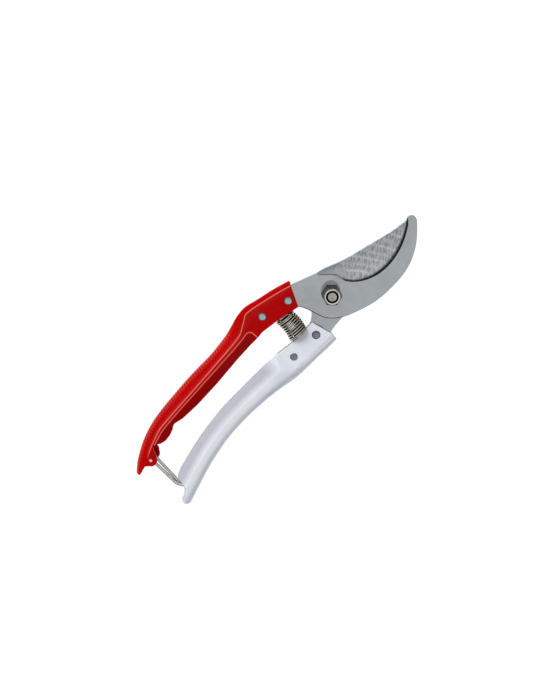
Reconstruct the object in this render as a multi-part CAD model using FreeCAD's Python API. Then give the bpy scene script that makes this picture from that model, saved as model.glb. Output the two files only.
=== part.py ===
"""Bypass pruning shears: two flat blades on one pivot bolt, in pressed sheet-steel handles.

Millimetres. The origin is on the pivot's axis, on the outer face of the bolt's head. +X runs
to the blades' tips, +Y towards the red handle and +Z towards the nut. The shears are closed.
"""
import FreeCAD
import Part
import math
import os

V = FreeCAD.Vector

# Overall sizes
BLADE_REACH = 62.0          # pivot to the hook's tip
HEAD_LENGTH = 48.0          # pivot to where the grips start
GRIP_LENGTH = 107.0         # from there to the red handle's tail
DRAWN_REACH = 62.0          # the same three sizes, as the outlines below are drawn
DRAWN_HEAD = 48.0
DRAWN_GRIP = 107.0

# Plates and pivot
BOLT_HEAD_RADIUS = 8.0
BOLT_HEAD_HEIGHT = 2.6
BOLT_HEAD_CHAMFER = 1.0
BLADE_THICKNESS = 3.0
HOOK_THICKNESS = 3.0
PLATE_GAP = 0.04            # bolt head to blade, and blade to hook
PIVOT_RADIUS = 4.0          # plain neck that the cutting blade turns on
PIVOT_CLEARANCE = 0.05
THREAD_RADIUS = 3.0
KEY_SHOULDER = 0.3          # from the thread out to the two flats that key the bolt in the hook
BOLT_END_CHAMFER = 0.4
NUT_ACROSS_FLATS = 10.0
NUT_HEX_HEIGHT = 4.2
NUT_TURN = 12.0             # degrees that the tightened nut's corners lie off the X axis
NUT_EDGE_SLOPE = 30.0       # degrees, of the turned chamfer on the nut's corners
NUT_COLLAR_HEIGHT = 1.8
NUT_COLLAR_WALL = 0.8
INSERT_WALL = 0.6
INSERT_HEIGHT = 1.4
INSERT_DEPTH = 0.2          # the insert's face below the collar's rim
BOLT_STAND_OUT = 0.3        # bolt's end above the insert
BEVEL_WIDTH = 4.5           # ground bevel of the cutting edge
BEVEL_LAND = 0.4            # thickness left at the cutting edge

# Handles
WALL = 1.3
TANG_CLEARANCE = 0.05
RIVET_RADIUS = 1.9
RIVET_HEAD_RADIUS = 2.2
RIVET_HEAD_HEIGHT = 0.6
RIVET_HEAD_DRAFT = 0.35     # how much narrower a head is at its face
RIVET_CLEARANCE = 0.03
PROFILE_REACH = 12.0        # how far a wall's profile runs inwards before it is trimmed
OVERRUN = 2.0               # how far the hollow's profile runs on past the wall's
BACK_SHOULDER = (0.62, 0.78)    # shoulder of the rounded back, as shares of its width and height
BACK_FLAT = 0.3             # flat of the back, as a share of the height
INNER_BACK_FLAT = 0.1       # least half width of the hollow's back, where its two sides meet
EAR_RADIUS = 3.8
EAR_HALF_WIDTH = 6.5        # outer faces of the two ears, from the middle plane

# Spring
SPRING_WIRE = 1.2
SPRING_RADIUS = 5.4         # to the wire's centre
SPRING_TURNS = 9.5
SPRING_SEAT_GAP = 0.3
PEG_CLEARANCE = 0.5         # between the pegs' corners and the coil
PEG_LENGTH = 4.5
PEG_TAPER = 0.8             # a peg's width at its tip, as a share

# Catch
BAIL_WIRE = 1.8
BAIL_CLEARANCE = 0.08
BAIL_SIDE_GAP = 0.4         # between the legs and the ears' inner faces
BAIL_END_HALF_WIDTH = 1.9   # at the closed end
BAIL_KNEE_SPREAD = 0.5      # how much wider the legs still are where the end is bent over
BAIL_LENGTH = 21.0          # ear to where the end is bent over
BAIL_END = (1.4, -4.2)      # the bent-over end, along X and Y
BAIL_BEND = 1.6
BAIL_LEAN = 2.2             # how far the legs lean back from the ears

TOUCH = 1e-3                # closer than this counts as touching

# Stack along the pivot, from the bolt head's outer face
BLADE_Z = BOLT_HEAD_HEIGHT + PLATE_GAP
MATE_Z = BLADE_Z + BLADE_THICKNESS
HOOK_Z = MATE_Z + PLATE_GAP
NUT_Z = HOOK_Z + HOOK_THICKNESS
COLLAR_Z = NUT_Z + NUT_HEX_HEIGHT
NUT_TOP = COLLAR_Z + NUT_COLLAR_HEIGHT
INSERT_Z = NUT_TOP - INSERT_HEIGHT - INSERT_DEPTH
COLLAR_BORE = THREAD_RADIUS + INSERT_WALL
COLLAR_RADIUS = COLLAR_BORE + NUT_COLLAR_WALL
KEY_FLAT = THREAD_RADIUS + KEY_SHOULDER
BLADE_MID = BLADE_Z + BLADE_THICKNESS / 2
HOOK_MID = HOOK_Z + HOOK_THICKNESS / 2
GRIP_MID = MATE_Z + PLATE_GAP / 2
HOOK_HEAD_HALF = HOOK_THICKNESS / 2 + TANG_CLEARANCE + WALL
BLADE_HEAD_HALF = BLADE_THICKNESS / 2 + TANG_CLEARANCE + WALL


def along(x):
    """A drawn place along the shears: blades, heads and grips each stretch with their size."""
    if x > 0:
        return x * BLADE_REACH / DRAWN_REACH
    if x > -DRAWN_HEAD:
        return x * HEAD_LENGTH / DRAWN_HEAD
    return -HEAD_LENGTH + (x + DRAWN_HEAD) * GRIP_LENGTH / DRAWN_GRIP


def place(points):
    return [V(along(x), y, 0) for x, y in points]


def curve(points):
    spline = Part.BSplineCurve()
    spline.interpolate(place(points))
    return [spline.toShape()]


def lines(points):
    corners = place(points)
    return [Part.LineSegment(a, b).toShape() for a, b in zip(corners, corners[1:])]


def prism(edges, low, high):
    face = Part.Face(Part.Wire(edges))
    face.translate(V(0, 0, low))
    return face.extrude(V(0, 0, high - low))


def rod(x, y, radius, low, high):
    return Part.makeCylinder(radius, high - low, V(x, y, low))


# Places that more than one piece uses
EAR = (along(-142.0), 10.8)
RED_RIVETS = [(along(-18.7), 15.8), (along(-35.1), 20.3)]
WHITE_RIVETS = [(along(-22.8), -9.6), (along(-40.8), -9.1)]
SPRING_RED_END = V(along(-27.2), 10.9, GRIP_MID)
SPRING_WHITE_END = V(along(-29.6), -3.0, GRIP_MID)
RED_HEAD_EDGE = [(-17.4, 9.2), (-32.6, 12.7), (-41.4, 14.2), (-48.0, 14.0)]
WHITE_HEAD_EDGE = [(-48.0, -1.0), (-42.2, -1.9), (-35.9, -2.9), (-18.9, -3.3)]


def spring_peg(seat, other_seat, low, high):
    """A peg on a tang's edge, running from its seat into the spring, with its root in the tang."""
    reach = (other_seat - seat).normalize() * PEG_LENGTH
    coil_bore = SPRING_RADIUS - SPRING_WIRE / 2 - PEG_CLEARANCE
    farthest = max(high - GRIP_MID, GRIP_MID - low)
    half_width = math.sqrt(coil_bore ** 2 - farthest ** 2)
    side = V(-reach.y, reach.x, 0).normalize() * half_width
    root = seat - reach
    tip = seat + reach
    corners = [root - side, root + side, tip + side * PEG_TAPER, tip - side * PEG_TAPER]
    for corner in corners:
        corner.z = low
    face = Part.Face(Part.makePolygon(corners + corners[:1]))
    return face.extrude(V(0, 0, high - low))


def rivet_holes(shape, rivets, low, high):
    for x, y in rivets:
        shape = shape.cut(rod(x, y, RIVET_RADIUS + RIVET_CLEARANCE, low - 1, high + 1))
    return shape


def hook_blade():
    """The counter blade: a hooked plate, with its tang in the red handle."""
    top = NUT_Z
    outline = lines([(-43.0, 15.0), (-43.0, 26.6), (-30.0, 24.9), (-10.2, 20.2), (2.7, 14.7)])
    outline += curve([(2.7, 14.7), (5.3, 10.9), (8.1, 8.0), (9.9, 3.3)])
    outline += curve([(9.9, 3.3), (11.6, -0.6), (15.7, -5.1), (23.4, -9.3), (32.3, -10.8),
                      (42.8, -9.4), (51.7, -5.7), (58.3, -1.3)])
    outline += curve([(58.3, -1.3), (60.3, -1.1), (61.8, -2.4), (61.9, -4.3), (60.8, -6.2)])
    outline += curve([(60.8, -6.2), (57.0, -10.2), (49.1, -16.3), (38.8, -20.5), (26.0, -21.6),
                      (13.6, -20.4), (3.6, -17.2), (-5.6, -12.8), (-12.0, -6.1), (-14.3, 1.3),
                      (-17.6, 9.4)])
    outline += lines([(-17.6, 9.4), (-32.6, 13.0), (-43.0, 15.0)])
    plate = prism(outline, HOOK_Z, top)
    peg = spring_peg(SPRING_RED_END, SPRING_WHITE_END, HOOK_Z, top)
    plate = plate.fuse(peg).removeSplitter()
    hole = rod(0, 0, PIVOT_RADIUS + PIVOT_CLEARANCE, HOOK_Z - 1, top + 1)
    flats = 2 * (KEY_FLAT + PIVOT_CLEARANCE)
    key = Part.makeBox(4 * PIVOT_RADIUS, flats, HOOK_THICKNESS + 2,
                       V(-2 * PIVOT_RADIUS, -flats / 2, HOOK_Z - 1))
    return rivet_holes(plate.cut(hole.common(key)), RED_RIVETS, HOOK_Z, top)


def cutting_blade():
    """The cutting blade: flat against the hook, with a bevel ground on its outer side."""
    back = curve([(-14.3, 3.6), (-10.8, 9.2), (-4.0, 13.4), (2.5, 14.1), (13.9, 9.9),
                  (28.5, 5.0), (41.2, 1.3), (52.0, -1.4), (59.3, -2.0)])
    edge = curve([(59.3, -2.0), (56.0, -5.2), (48.0, -9.8), (38.0, -13.0), (27.0, -14.6),
                  (15.0, -14.8), (5.0, -14.4)])
    tang = curve([(5.0, -14.4), (-5.2, -13.9), (-12.0, -14.2), (-18.0, -15.2)])
    tang += lines([(-18.0, -15.2), (-30.0, -14.8), (-46.0, -13.0), (-46.0, -1.5), (-42.2, -2.3),
                   (-35.9, -3.2), (-22.0, -3.4)])
    tang += curve([(-22.0, -3.4), (-18.0, -1.6), (-15.4, 0.8), (-14.3, 3.6)])
    plate = prism(back + edge + tang, BLADE_Z, MATE_Z)
    ground = [e for e in plate.Edges if is_cutting_edge(e)]
    plate = plate.makeChamfer(BLADE_THICKNESS - BEVEL_LAND, BEVEL_WIDTH, ground)
    peg = spring_peg(SPRING_WHITE_END, SPRING_RED_END, BLADE_Z, MATE_Z)
    plate = plate.fuse(peg).removeSplitter()
    plate = plate.cut(rod(0, 0, PIVOT_RADIUS + PIVOT_CLEARANCE, BLADE_Z - 1, MATE_Z + 1))
    return rivet_holes(plate, WHITE_RIVETS, BLADE_Z, MATE_Z)


def is_cutting_edge(edge):
    box = edge.BoundBox
    on_outer_side = abs(box.ZMax - BLADE_Z) < TOUCH
    return on_outer_side and box.XMax > along(50.0) and box.YMin < -14.0


def offset_profile(profile, distance):
    """The same open profile, moved inwards by a distance."""
    moved = []
    for (y0, h0), (y1, h1) in zip(profile, profile[1:]):
        run = math.hypot(y1 - y0, h1 - h0)
        shift_y = distance * (h1 - h0) / run
        shift_h = -distance * (y1 - y0) / run
        moved.append((y0 + shift_y, h0 + shift_h, (y1 - y0) / run, (h1 - h0) / run))
    y0, h0, dy, dh = moved[0]
    result = [(y0 - dy * OVERRUN, h0 - dh * OVERRUN)]
    for (y0, h0, dy0, dh0), (y1, h1, dy1, dh1) in zip(moved, moved[1:]):
        cross = dy0 * dh1 - dh0 * dy1
        if abs(cross) < TOUCH:
            result.append((y1, h1))
            continue
        step = ((y1 - y0) * dh1 - (h1 - h0) * dy1) / cross
        result.append((y0 + dy0 * step, h0 + dh0 * step))
    y0, h0, dy, dh = moved[-1]
    length = math.hypot(profile[-1][0] - profile[-2][0], profile[-1][1] - profile[-2][1])
    result.append((y0 + dy * (length + OVERRUN), h0 + dh * (length + OVERRUN)))
    return result


def mirrored(upper):
    """The whole profile, from its upper half."""
    return upper + [(y, -h) for y, h in reversed(upper)]


def hollow_profile(upper):
    """Upper half of the hollow: a wall in from the outside, with a back that never closes up."""
    half = offset_profile(mirrored(upper), WALL)[:len(upper)]
    (y0, h0), (y1, h1) = half[-2:]
    if h1 < INNER_BACK_FLAT:
        share = (h0 - INNER_BACK_FLAT) / (h0 - h1)
        half[-1] = (y0 + (y1 - y0) * share, INNER_BACK_FLAT)
    return half


def channel(stations, side):
    """A pressed channel through stations of (x, middle z, upper half profile), open inwards."""
    outer = []
    inner = []
    for x, middle, upper in stations:
        for wires, half in ((outer, upper), (inner, hollow_profile(upper))):
            corners = [V(along(x), side * y, middle + h) for y, h in mirrored(half)]
            wires.append(Part.makePolygon(corners + corners[:1]))
    return Part.makeLoft(outer, True, True).cut(Part.makeLoft(inner, True, True))


def ridged_profile(back, crease, ridge, height, slope):
    """Half of the red handle's section: a flat ridge between a rounded back and a sloping side."""
    width = back - crease
    return [(ridge - PROFILE_REACH, height - PROFILE_REACH * slope), (ridge, height),
            (crease, height), (crease + BACK_SHOULDER[0] * width, BACK_SHOULDER[1] * height),
            (back, BACK_FLAT * height)]


def red_handle():
    half = HOOK_HEAD_HALF
    table = [(-4.0, HOOK_MID, 20.6, 18.2, 15.0, half, 0.0),
             (-20.0, HOOK_MID, 26.0, 23.3, 19.0, half, 0.0),
             (-30.0, HOOK_MID, 28.6, 26.0, 20.5, half, 0.0),
             (-40.0, HOOK_MID, 31.0, 28.0, 21.5, half, 0.0),
             (-45.0, HOOK_MID, 30.6, 25.6, 20.8, half + 0.6, 0.04),
             (-52.0, GRIP_MID, 28.9, 22.6, 20.1, 6.6, 0.3),
             (-60.0, GRIP_MID, 27.4, 22.4, 20.0, 7.8, 0.42),
             (-74.0, GRIP_MID, 26.5, 22.2, 19.9, 8.0, 0.42),
             (-88.0, GRIP_MID, 26.8, 21.9, 19.6, 8.0, 0.42),
             (-110.0, GRIP_MID, 26.1, 21.1, 19.1, 8.0, 0.42),
             (-122.0, GRIP_MID, 25.1, 19.8, 18.0, 7.9, 0.36),
             (-131.0, GRIP_MID, 23.3, 17.5, 16.0, 7.5, 0.3),
             (-136.0, GRIP_MID, 21.8, 15.8, 14.5, EAR_HALF_WIDTH + 0.2, 0.04),
             (-142.0, GRIP_MID, 19.4, 13.3, 12.2, EAR_HALF_WIDTH, 0.0),
             (-150.0, GRIP_MID, 15.2, 9.8, 8.8, EAR_HALF_WIDTH - 0.3, 0.0),
             (-157.0, GRIP_MID, 10.2, 5.6, 4.6, EAR_HALF_WIDTH - 0.9, 0.0)]
    stations = [(x, middle, ridged_profile(*sizes)) for x, middle, *sizes in table]
    shell = channel(stations, 1)
    plan = lines([(-155.3, 11.2), (-155.3, 40.0), (-8.6, 40.0), (-8.6, 26.0), (-17.4, 9.2)])
    plan += lines(RED_HEAD_EDGE)
    plan += curve([(-48.0, 14.0), (-62.0, 14.1), (-80.0, 13.1), (-98.0, 12.9), (-110.0, 13.8),
                   (-116.2, 15.6)])
    plan += curve([(-116.2, 15.6), (-118.6, 13.8), (-122.4, 12.6), (-127.0, 12.2),
                   (-130.2, 13.3), (-132.4, 15.4)])
    plan += lines([(-132.4, 15.4), (-135.0, 14.6), (-136.6, 12.9), (-137.0, 10.9)])
    ear = V(EAR[0], EAR[1], 0)
    lobe = [ear + V(EAR_RADIUS * math.cos(a), EAR_RADIUS * math.sin(a), 0)
            for a in (math.radians(d) for d in (-28, -90, -152))]
    start = place([(-137.0, 10.9)])[0]
    end = place([(-147.4, 11.0)])[0]
    plan.append(Part.LineSegment(start, lobe[0]).toShape())
    plan.append(Part.Arc(*lobe).toShape())
    plan.append(Part.LineSegment(lobe[2], end).toShape())
    plan += lines([(-147.4, 11.0), (-154.4, 9.6), (-155.3, 11.2)])
    shell = shell.common(prism(plan, GRIP_MID - 20, GRIP_MID + 20))
    shell = shell.cut(rod(*EAR, BAIL_WIRE / 2 + BAIL_CLEARANCE, GRIP_MID - 10, GRIP_MID + 10))
    return rivet_holes(shell, RED_RIVETS, HOOK_MID - half, HOOK_MID + half)


def soft_profile(back, ridge, height, drop, slope):
    """Half of the white handle's section: a low ridge with a side that falls away each way."""
    near = 4.0
    side = height - drop
    return [(ridge - PROFILE_REACH, side - (PROFILE_REACH - near) * slope), (ridge - near, side),
            (ridge, height), (ridge + near, side), (back, BACK_FLAT * height)]


def white_handle():
    half = BLADE_HEAD_HALF
    table = [(-8.0, BLADE_MID, 20.5, 12.6, half, 0.0, 0.0),
             (-20.0, BLADE_MID, 20.4, 12.0, half, 0.0, 0.0),
             (-33.0, BLADE_MID, 19.8, 11.5, half, 0.0, 0.0),
             (-44.0, BLADE_MID, 19.5, 10.6, half, 0.0, 0.0),
             (-50.0, GRIP_MID - 1.2, 18.7, 9.2, half + 1.2, 0.3, 0.1),
             (-60.0, GRIP_MID, 16.4, 7.8, 6.6, 0.6, 0.3),
             (-72.0, GRIP_MID, 14.7, 6.9, 7.6, 0.8, 0.4),
             (-88.0, GRIP_MID, 13.8, 6.5, 7.8, 0.8, 0.4),
             (-100.0, GRIP_MID, 14.2, 7.0, 7.8, 0.8, 0.4),
             (-112.0, GRIP_MID, 15.8, 8.6, 7.8, 0.8, 0.38),
             (-124.0, GRIP_MID, 18.3, 11.0, 7.7, 0.8, 0.34),
             (-136.0, GRIP_MID, 21.6, 14.1, 7.6, 0.7, 0.3),
             (-146.0, GRIP_MID, 24.5, 16.9, 7.4, 0.7, 0.3),
             (-154.0, GRIP_MID, 26.9, 19.2, 7.2, 0.7, 0.3)]
    stations = [(x, middle, soft_profile(*sizes)) for x, middle, *sizes in table]
    shell = channel(stations, -1)
    plan = lines(WHITE_HEAD_EDGE)
    plan += lines([(-18.9, -3.3), (-16.3, -15.8), (-16.9, -18.4), (-18.0, -40.0),
                   (-148.2, -40.0), (-148.2, -25.0)])
    plan += curve([(-148.2, -25.0), (-150.5, -22.8), (-150.3, -20.4), (-147.4, -18.0)])
    plan += lines([(-147.4, -18.0), (-143.6, -16.2), (-143.1, -12.0), (-142.5, -8.8),
                   (-141.0, -7.8)])
    plan += curve([(-141.0, -7.8), (-128.0, -4.7), (-116.0, -2.2), (-104.0, -0.5), (-90.0, 0.5),
                   (-78.0, 0.3), (-60.0, -0.1), (-48.0, -1.0)])
    shell = shell.common(prism(plan, GRIP_MID - 20, GRIP_MID + 20))
    return rivet_holes(shell, WHITE_RIVETS, BLADE_MID - half, BLADE_MID + half)


def rivet(x, y, middle, half):
    """A solid rivet with a low head on each side."""
    body = rod(x, y, RIVET_RADIUS, middle - half, middle + half)
    for side in (-1, 1):
        face = middle + side * half
        head = Part.makeCone(RIVET_HEAD_RADIUS, RIVET_HEAD_RADIUS - RIVET_HEAD_DRAFT,
                             RIVET_HEAD_HEIGHT, V(x, y, face), V(0, 0, side))
        body = body.fuse(head)
    return body.removeSplitter()


def pivot_bolt():
    """Round-headed bolt: plain neck in the blade, two flats in the hook, then the thread."""
    head = rod(0, 0, BOLT_HEAD_RADIUS, 0, BOLT_HEAD_HEIGHT)
    outer_rim = [edge for edge in head.Edges if edge.BoundBox.ZMax < TOUCH]
    head = head.makeChamfer(BOLT_HEAD_CHAMFER, outer_rim)
    neck = rod(0, 0, PIVOT_RADIUS, BOLT_HEAD_HEIGHT, HOOK_Z)
    keyed = rod(0, 0, PIVOT_RADIUS, HOOK_Z, NUT_Z)
    key = Part.makeBox(4 * PIVOT_RADIUS, 2 * KEY_FLAT, HOOK_THICKNESS,
                       V(-2 * PIVOT_RADIUS, -KEY_FLAT, HOOK_Z))
    end = INSERT_Z + INSERT_HEIGHT + BOLT_STAND_OUT
    thread = rod(0, 0, THREAD_RADIUS, NUT_Z, end - BOLT_END_CHAMFER)
    tip = Part.makeCone(THREAD_RADIUS, THREAD_RADIUS - BOLT_END_CHAMFER, BOLT_END_CHAMFER,
                        V(0, 0, end - BOLT_END_CHAMFER))
    return head.fuse([neck, keyed.common(key), thread, tip]).removeSplitter()


def pivot_nut():
    """Hexagon lock nut with a round collar that holds the insert."""
    corner = NUT_ACROSS_FLATS / math.sqrt(3)
    turns = [math.radians(60 * i + NUT_TURN) for i in range(7)]
    corners = [V(corner * math.cos(a), corner * math.sin(a), NUT_Z) for a in turns]
    hexagon = Part.Face(Part.makePolygon(corners)).extrude(V(0, 0, NUT_HEX_HEIGHT))
    widening = NUT_HEX_HEIGHT / math.tan(math.radians(NUT_EDGE_SLOPE))
    chamfer = Part.makeCone(NUT_ACROSS_FLATS / 2 + widening, NUT_ACROSS_FLATS / 2,
                            NUT_HEX_HEIGHT, V(0, 0, NUT_Z))
    collar = rod(0, 0, COLLAR_RADIUS, COLLAR_Z, NUT_TOP)
    top_rim = [edge for edge in collar.Edges if edge.BoundBox.ZMin > NUT_TOP - TOUCH]
    collar = collar.makeFillet(NUT_COLLAR_WALL / 2, top_rim)
    nut = hexagon.common(chamfer).fuse(collar)
    nut = nut.cut(rod(0, 0, THREAD_RADIUS, NUT_Z - 1, NUT_TOP + 1))
    seat = rod(0, 0, COLLAR_BORE, INSERT_Z, NUT_TOP + 1)
    return nut.cut(seat).removeSplitter()


def nut_insert():
    ring = rod(0, 0, COLLAR_BORE, INSERT_Z, INSERT_Z + INSERT_HEIGHT)
    return ring.cut(rod(0, 0, THREAD_RADIUS, INSERT_Z - 1, NUT_TOP + 1))


def spring():
    """Close compression coil between the two handles' edges."""
    axis = SPRING_WHITE_END - SPRING_RED_END
    unit = V(axis)
    unit.normalize()
    start = SPRING_RED_END + unit * (SPRING_WIRE / 2 + SPRING_SEAT_GAP)
    height = axis.Length - SPRING_WIRE - 2 * SPRING_SEAT_GAP
    helix = Part.makeHelix(height / SPRING_TURNS, height, SPRING_RADIUS)
    circle = Part.makeCircle(SPRING_WIRE / 2, V(SPRING_RADIUS, 0, 0), V(0, 1, 0))
    coil = Part.Wire(helix).makePipeShell([Part.Wire(circle)], True, True)
    coil.Placement = FreeCAD.Placement(start, FreeCAD.Rotation(V(0, 0, 1), unit))
    return coil


def rounded_path(points, radius):
    """Straight runs through the points, joined by tangent arcs."""
    edges = []
    last = points[0]
    for before, corner, after in zip(points, points[1:], points[2:]):
        inward = (before - corner).normalize()
        outward = (after - corner).normalize()
        half = inward.getAngle(outward) / 2
        back = radius / math.tan(half)
        middle = corner + (inward + outward).normalize() * (radius / math.sin(half) - radius)
        first = corner + inward * back
        edges.append(Part.LineSegment(last, first).toShape())
        last = corner + outward * back
        edges.append(Part.Arc(first, middle, last).toShape())
    edges.append(Part.LineSegment(last, points[-1]).toShape())
    return Part.Wire(edges)


def catch_bail():
    """Wire loop: its feet turn in the ears, and its closed end reaches into the white handle."""
    x, y = EAR
    leg_half_width = EAR_HALF_WIDTH - WALL - BAIL_SIDE_GAP - BAIL_WIRE / 2
    bend_x = x - BAIL_LEAN
    bend_y = y - BAIL_LENGTH
    end_x = bend_x + BAIL_END[0]
    end_y = bend_y + BAIL_END[1]
    knee = BAIL_END_HALF_WIDTH + BAIL_KNEE_SPREAD
    upper = [(x, y, EAR_HALF_WIDTH), (x, y, leg_half_width), (bend_x, bend_y, knee),
             (end_x, end_y, BAIL_END_HALF_WIDTH)]
    points = [V(px, py, GRIP_MID + h) for px, py, h in upper]
    points += [V(px, py, GRIP_MID - h) for px, py, h in reversed(upper)]
    path = rounded_path(points, BAIL_BEND)
    circle = Part.makeCircle(BAIL_WIRE / 2, points[0], V(0, 0, 1))
    return path.makePipeShell([Part.Wire(circle)], True, False)


def build():
    pieces = {"hook_blade": hook_blade(), "cutting_blade": cutting_blade(),
              "red_handle": red_handle(), "white_handle": white_handle(),
              "pivot_bolt": pivot_bolt(), "pivot_nut": pivot_nut(), "nut_insert": nut_insert(),
              "spring": spring(), "catch_bail": catch_bail()}
    for name, (x, y) in zip(("red_front_rivet", "red_rear_rivet"), RED_RIVETS):
        pieces[name] = rivet(x, y, HOOK_MID, HOOK_HEAD_HALF)
    for name, (x, y) in zip(("white_front_rivet", "white_rear_rivet"), WHITE_RIVETS):
        pieces[name] = rivet(x, y, BLADE_MID, BLADE_HEAD_HALF)
    os.makedirs("parts", exist_ok=True)
    for name, shape in pieces.items():
        shape.exportStep(f"parts/{name}.step")


build()
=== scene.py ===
"""Pruning shears, shown shut on a pale floor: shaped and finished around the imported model.

Lengths are in millimetres until a piece is finished, when its mesh is scaled to metres.
X runs to the blades' tips, Y towards the red handle and Z along the pivot towards the nut.
"""
import math

import bmesh
import bpy
from mathutils import Matrix, Vector
from mathutils.kdtree import KDTree
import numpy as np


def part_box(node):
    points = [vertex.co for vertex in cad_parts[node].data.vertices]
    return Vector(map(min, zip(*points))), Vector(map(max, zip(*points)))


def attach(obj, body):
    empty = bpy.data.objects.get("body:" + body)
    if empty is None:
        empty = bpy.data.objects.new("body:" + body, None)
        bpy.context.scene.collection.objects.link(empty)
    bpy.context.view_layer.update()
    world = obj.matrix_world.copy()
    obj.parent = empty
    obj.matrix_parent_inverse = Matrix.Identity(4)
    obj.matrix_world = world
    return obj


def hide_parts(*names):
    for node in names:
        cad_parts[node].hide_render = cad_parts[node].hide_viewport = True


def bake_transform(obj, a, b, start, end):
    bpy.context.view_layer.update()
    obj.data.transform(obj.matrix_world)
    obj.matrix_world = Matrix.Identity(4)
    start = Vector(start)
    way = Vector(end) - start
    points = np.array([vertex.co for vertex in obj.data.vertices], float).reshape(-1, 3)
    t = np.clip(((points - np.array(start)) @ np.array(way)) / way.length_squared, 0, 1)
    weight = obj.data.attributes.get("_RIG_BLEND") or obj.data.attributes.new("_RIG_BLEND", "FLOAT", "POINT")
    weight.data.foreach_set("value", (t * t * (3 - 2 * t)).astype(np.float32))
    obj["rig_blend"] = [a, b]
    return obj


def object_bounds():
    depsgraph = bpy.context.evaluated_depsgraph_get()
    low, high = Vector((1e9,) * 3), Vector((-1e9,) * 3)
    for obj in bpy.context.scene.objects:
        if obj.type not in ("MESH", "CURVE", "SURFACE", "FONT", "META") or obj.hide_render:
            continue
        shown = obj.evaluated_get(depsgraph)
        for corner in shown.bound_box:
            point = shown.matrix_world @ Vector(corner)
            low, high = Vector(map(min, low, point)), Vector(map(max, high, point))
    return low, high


bl_info = {
    "name": "Pruning Shears",
    "version": (1, 0, 0),
    "blender": (4, 5, 0),
    "location": "View3D > Sidebar > Shears",
    "description": "Builds the shears' handles, blades, spring and catch on their packed model",
    "category": "Object",
}

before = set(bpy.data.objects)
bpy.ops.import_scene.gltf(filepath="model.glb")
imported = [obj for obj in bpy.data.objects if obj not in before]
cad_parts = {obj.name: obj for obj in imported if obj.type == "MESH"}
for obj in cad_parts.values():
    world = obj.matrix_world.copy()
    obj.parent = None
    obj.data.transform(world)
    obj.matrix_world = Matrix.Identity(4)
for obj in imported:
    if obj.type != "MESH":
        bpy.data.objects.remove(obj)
CAD_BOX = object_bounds()
MM = 0.001


def box_mm(node):
    """A CAD node's lowest and highest corners, in millimetres."""
    low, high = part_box(node)
    return low / MM, high / MM


# Planes and axes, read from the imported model
HOOK_LOW, HOOK_HIGH = box_mm("hook_blade")
BLADE_LOW, BLADE_HIGH = box_mm("cutting_blade")
NUT_LOW = box_mm("pivot_nut")[0]
INSERT_LOW, INSERT_HIGH = box_mm("nut_insert")
BOLT_LOW, BOLT_HIGH = box_mm("pivot_bolt")
BAIL_LOW, BAIL_HIGH = box_mm("catch_bail")
HOOK_MID = (HOOK_LOW.z + HOOK_HIGH.z) / 2
BLADE_MID = (BLADE_LOW.z + BLADE_HIGH.z) / 2
GRIP_MID = (BAIL_LOW.z + BAIL_HIGH.z) / 2
EAR = Vector((-142.0, 10.8))


# ---------------------------------------------------------------- settings

class HandleSettings(bpy.types.PropertyGroup):
    wall: bpy.props.FloatProperty(
        name="Wall", description="Thickness of the pressed sheet, in mm", default=1.3)
    edge_round: bpy.props.FloatProperty(
        name="Edge round", description="Rounding of the sheet's cut edges, in mm", default=0.35)
    groove_pitch: bpy.props.FloatProperty(
        name="Groove pitch", description="Spacing of the grooves across the red back, in mm",
        default=1.9)
    groove_depth: bpy.props.FloatProperty(
        name="Groove depth", description="Depth of the grooves across the red back, in mm",
        default=0.42)
    crease_round: bpy.props.FloatProperty(
        name="Crease round", description="Rounding of the pressed creases, in mm", default=0.45)
    ear_hole: bpy.props.FloatProperty(
        name="Ear hole", description="Radius of the catch's hole in each ear, in mm", default=0.98)


class BladeSettings(bpy.types.PropertyGroup):
    edge_break: bpy.props.FloatProperty(
        name="Edge break", description="Small chamfer on every sharp edge, in mm", default=0.16)
    hook_chamfer: bpy.props.FloatProperty(
        name="Hook chamfer", description="Chamfer along the hook's inner edge, in mm",
        default=0.95)
    ground_from: bpy.props.FloatProperty(
        name="Ground from", description="Where the ground face starts, in mm from the pivot",
        default=13.5)
    arc_pitch: bpy.props.FloatProperty(
        name="Arc pitch", description="Spacing of the bright grinding arcs, in mm", default=4.1)


class SpringSettings(bpy.types.PropertyGroup):
    wire: bpy.props.FloatProperty(
        name="Wire", description="Diameter of the spring's wire, in mm", default=1.2)
    radius: bpy.props.FloatProperty(
        name="Radius", description="Coil radius to the wire's centre, in mm", default=5.4)
    turns: bpy.props.FloatProperty(
        name="Turns", description="Turns of the coil", default=9.5)
    bow: bpy.props.FloatProperty(
        name="Bow", description="How far the coil's middle is bowed to the grips, in mm",
        default=0.7)


class ColourSettings(bpy.types.PropertyGroup):
    red: bpy.props.FloatVectorProperty(
        name="Red enamel", description="Colour of the red handle", subtype="COLOR", size=3,
        default=(0.47, 0.0, 0.0004))
    white: bpy.props.FloatVectorProperty(
        name="White enamel", description="Colour of the white handle", subtype="COLOR", size=3,
        default=(0.87, 0.9, 0.97))
    steel: bpy.props.FloatVectorProperty(
        name="Blade steel", description="Colour of the blades", subtype="COLOR", size=3,
        default=(0.5, 0.525, 0.535))
    dark_edge_and_painted_shade: bpy.props.FloatVectorProperty(
        name="Dark edges and painted shade", description="Colour of the hook's dark chamfer and of the painted shade at its throat and on the tang", subtype="COLOR",
        size=3, default=(0.035, 0.042, 0.046))
    wire: bpy.props.FloatVectorProperty(
        name="Plated wire", description="Colour of the catch", subtype="COLOR", size=3,
        default=(0.85, 0.87, 0.78))
    floor: bpy.props.FloatVectorProperty(
        name="Floor", description="Colour of the floor", subtype="COLOR", size=3,
        default=(0.1, 0.1, 0.1))


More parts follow.
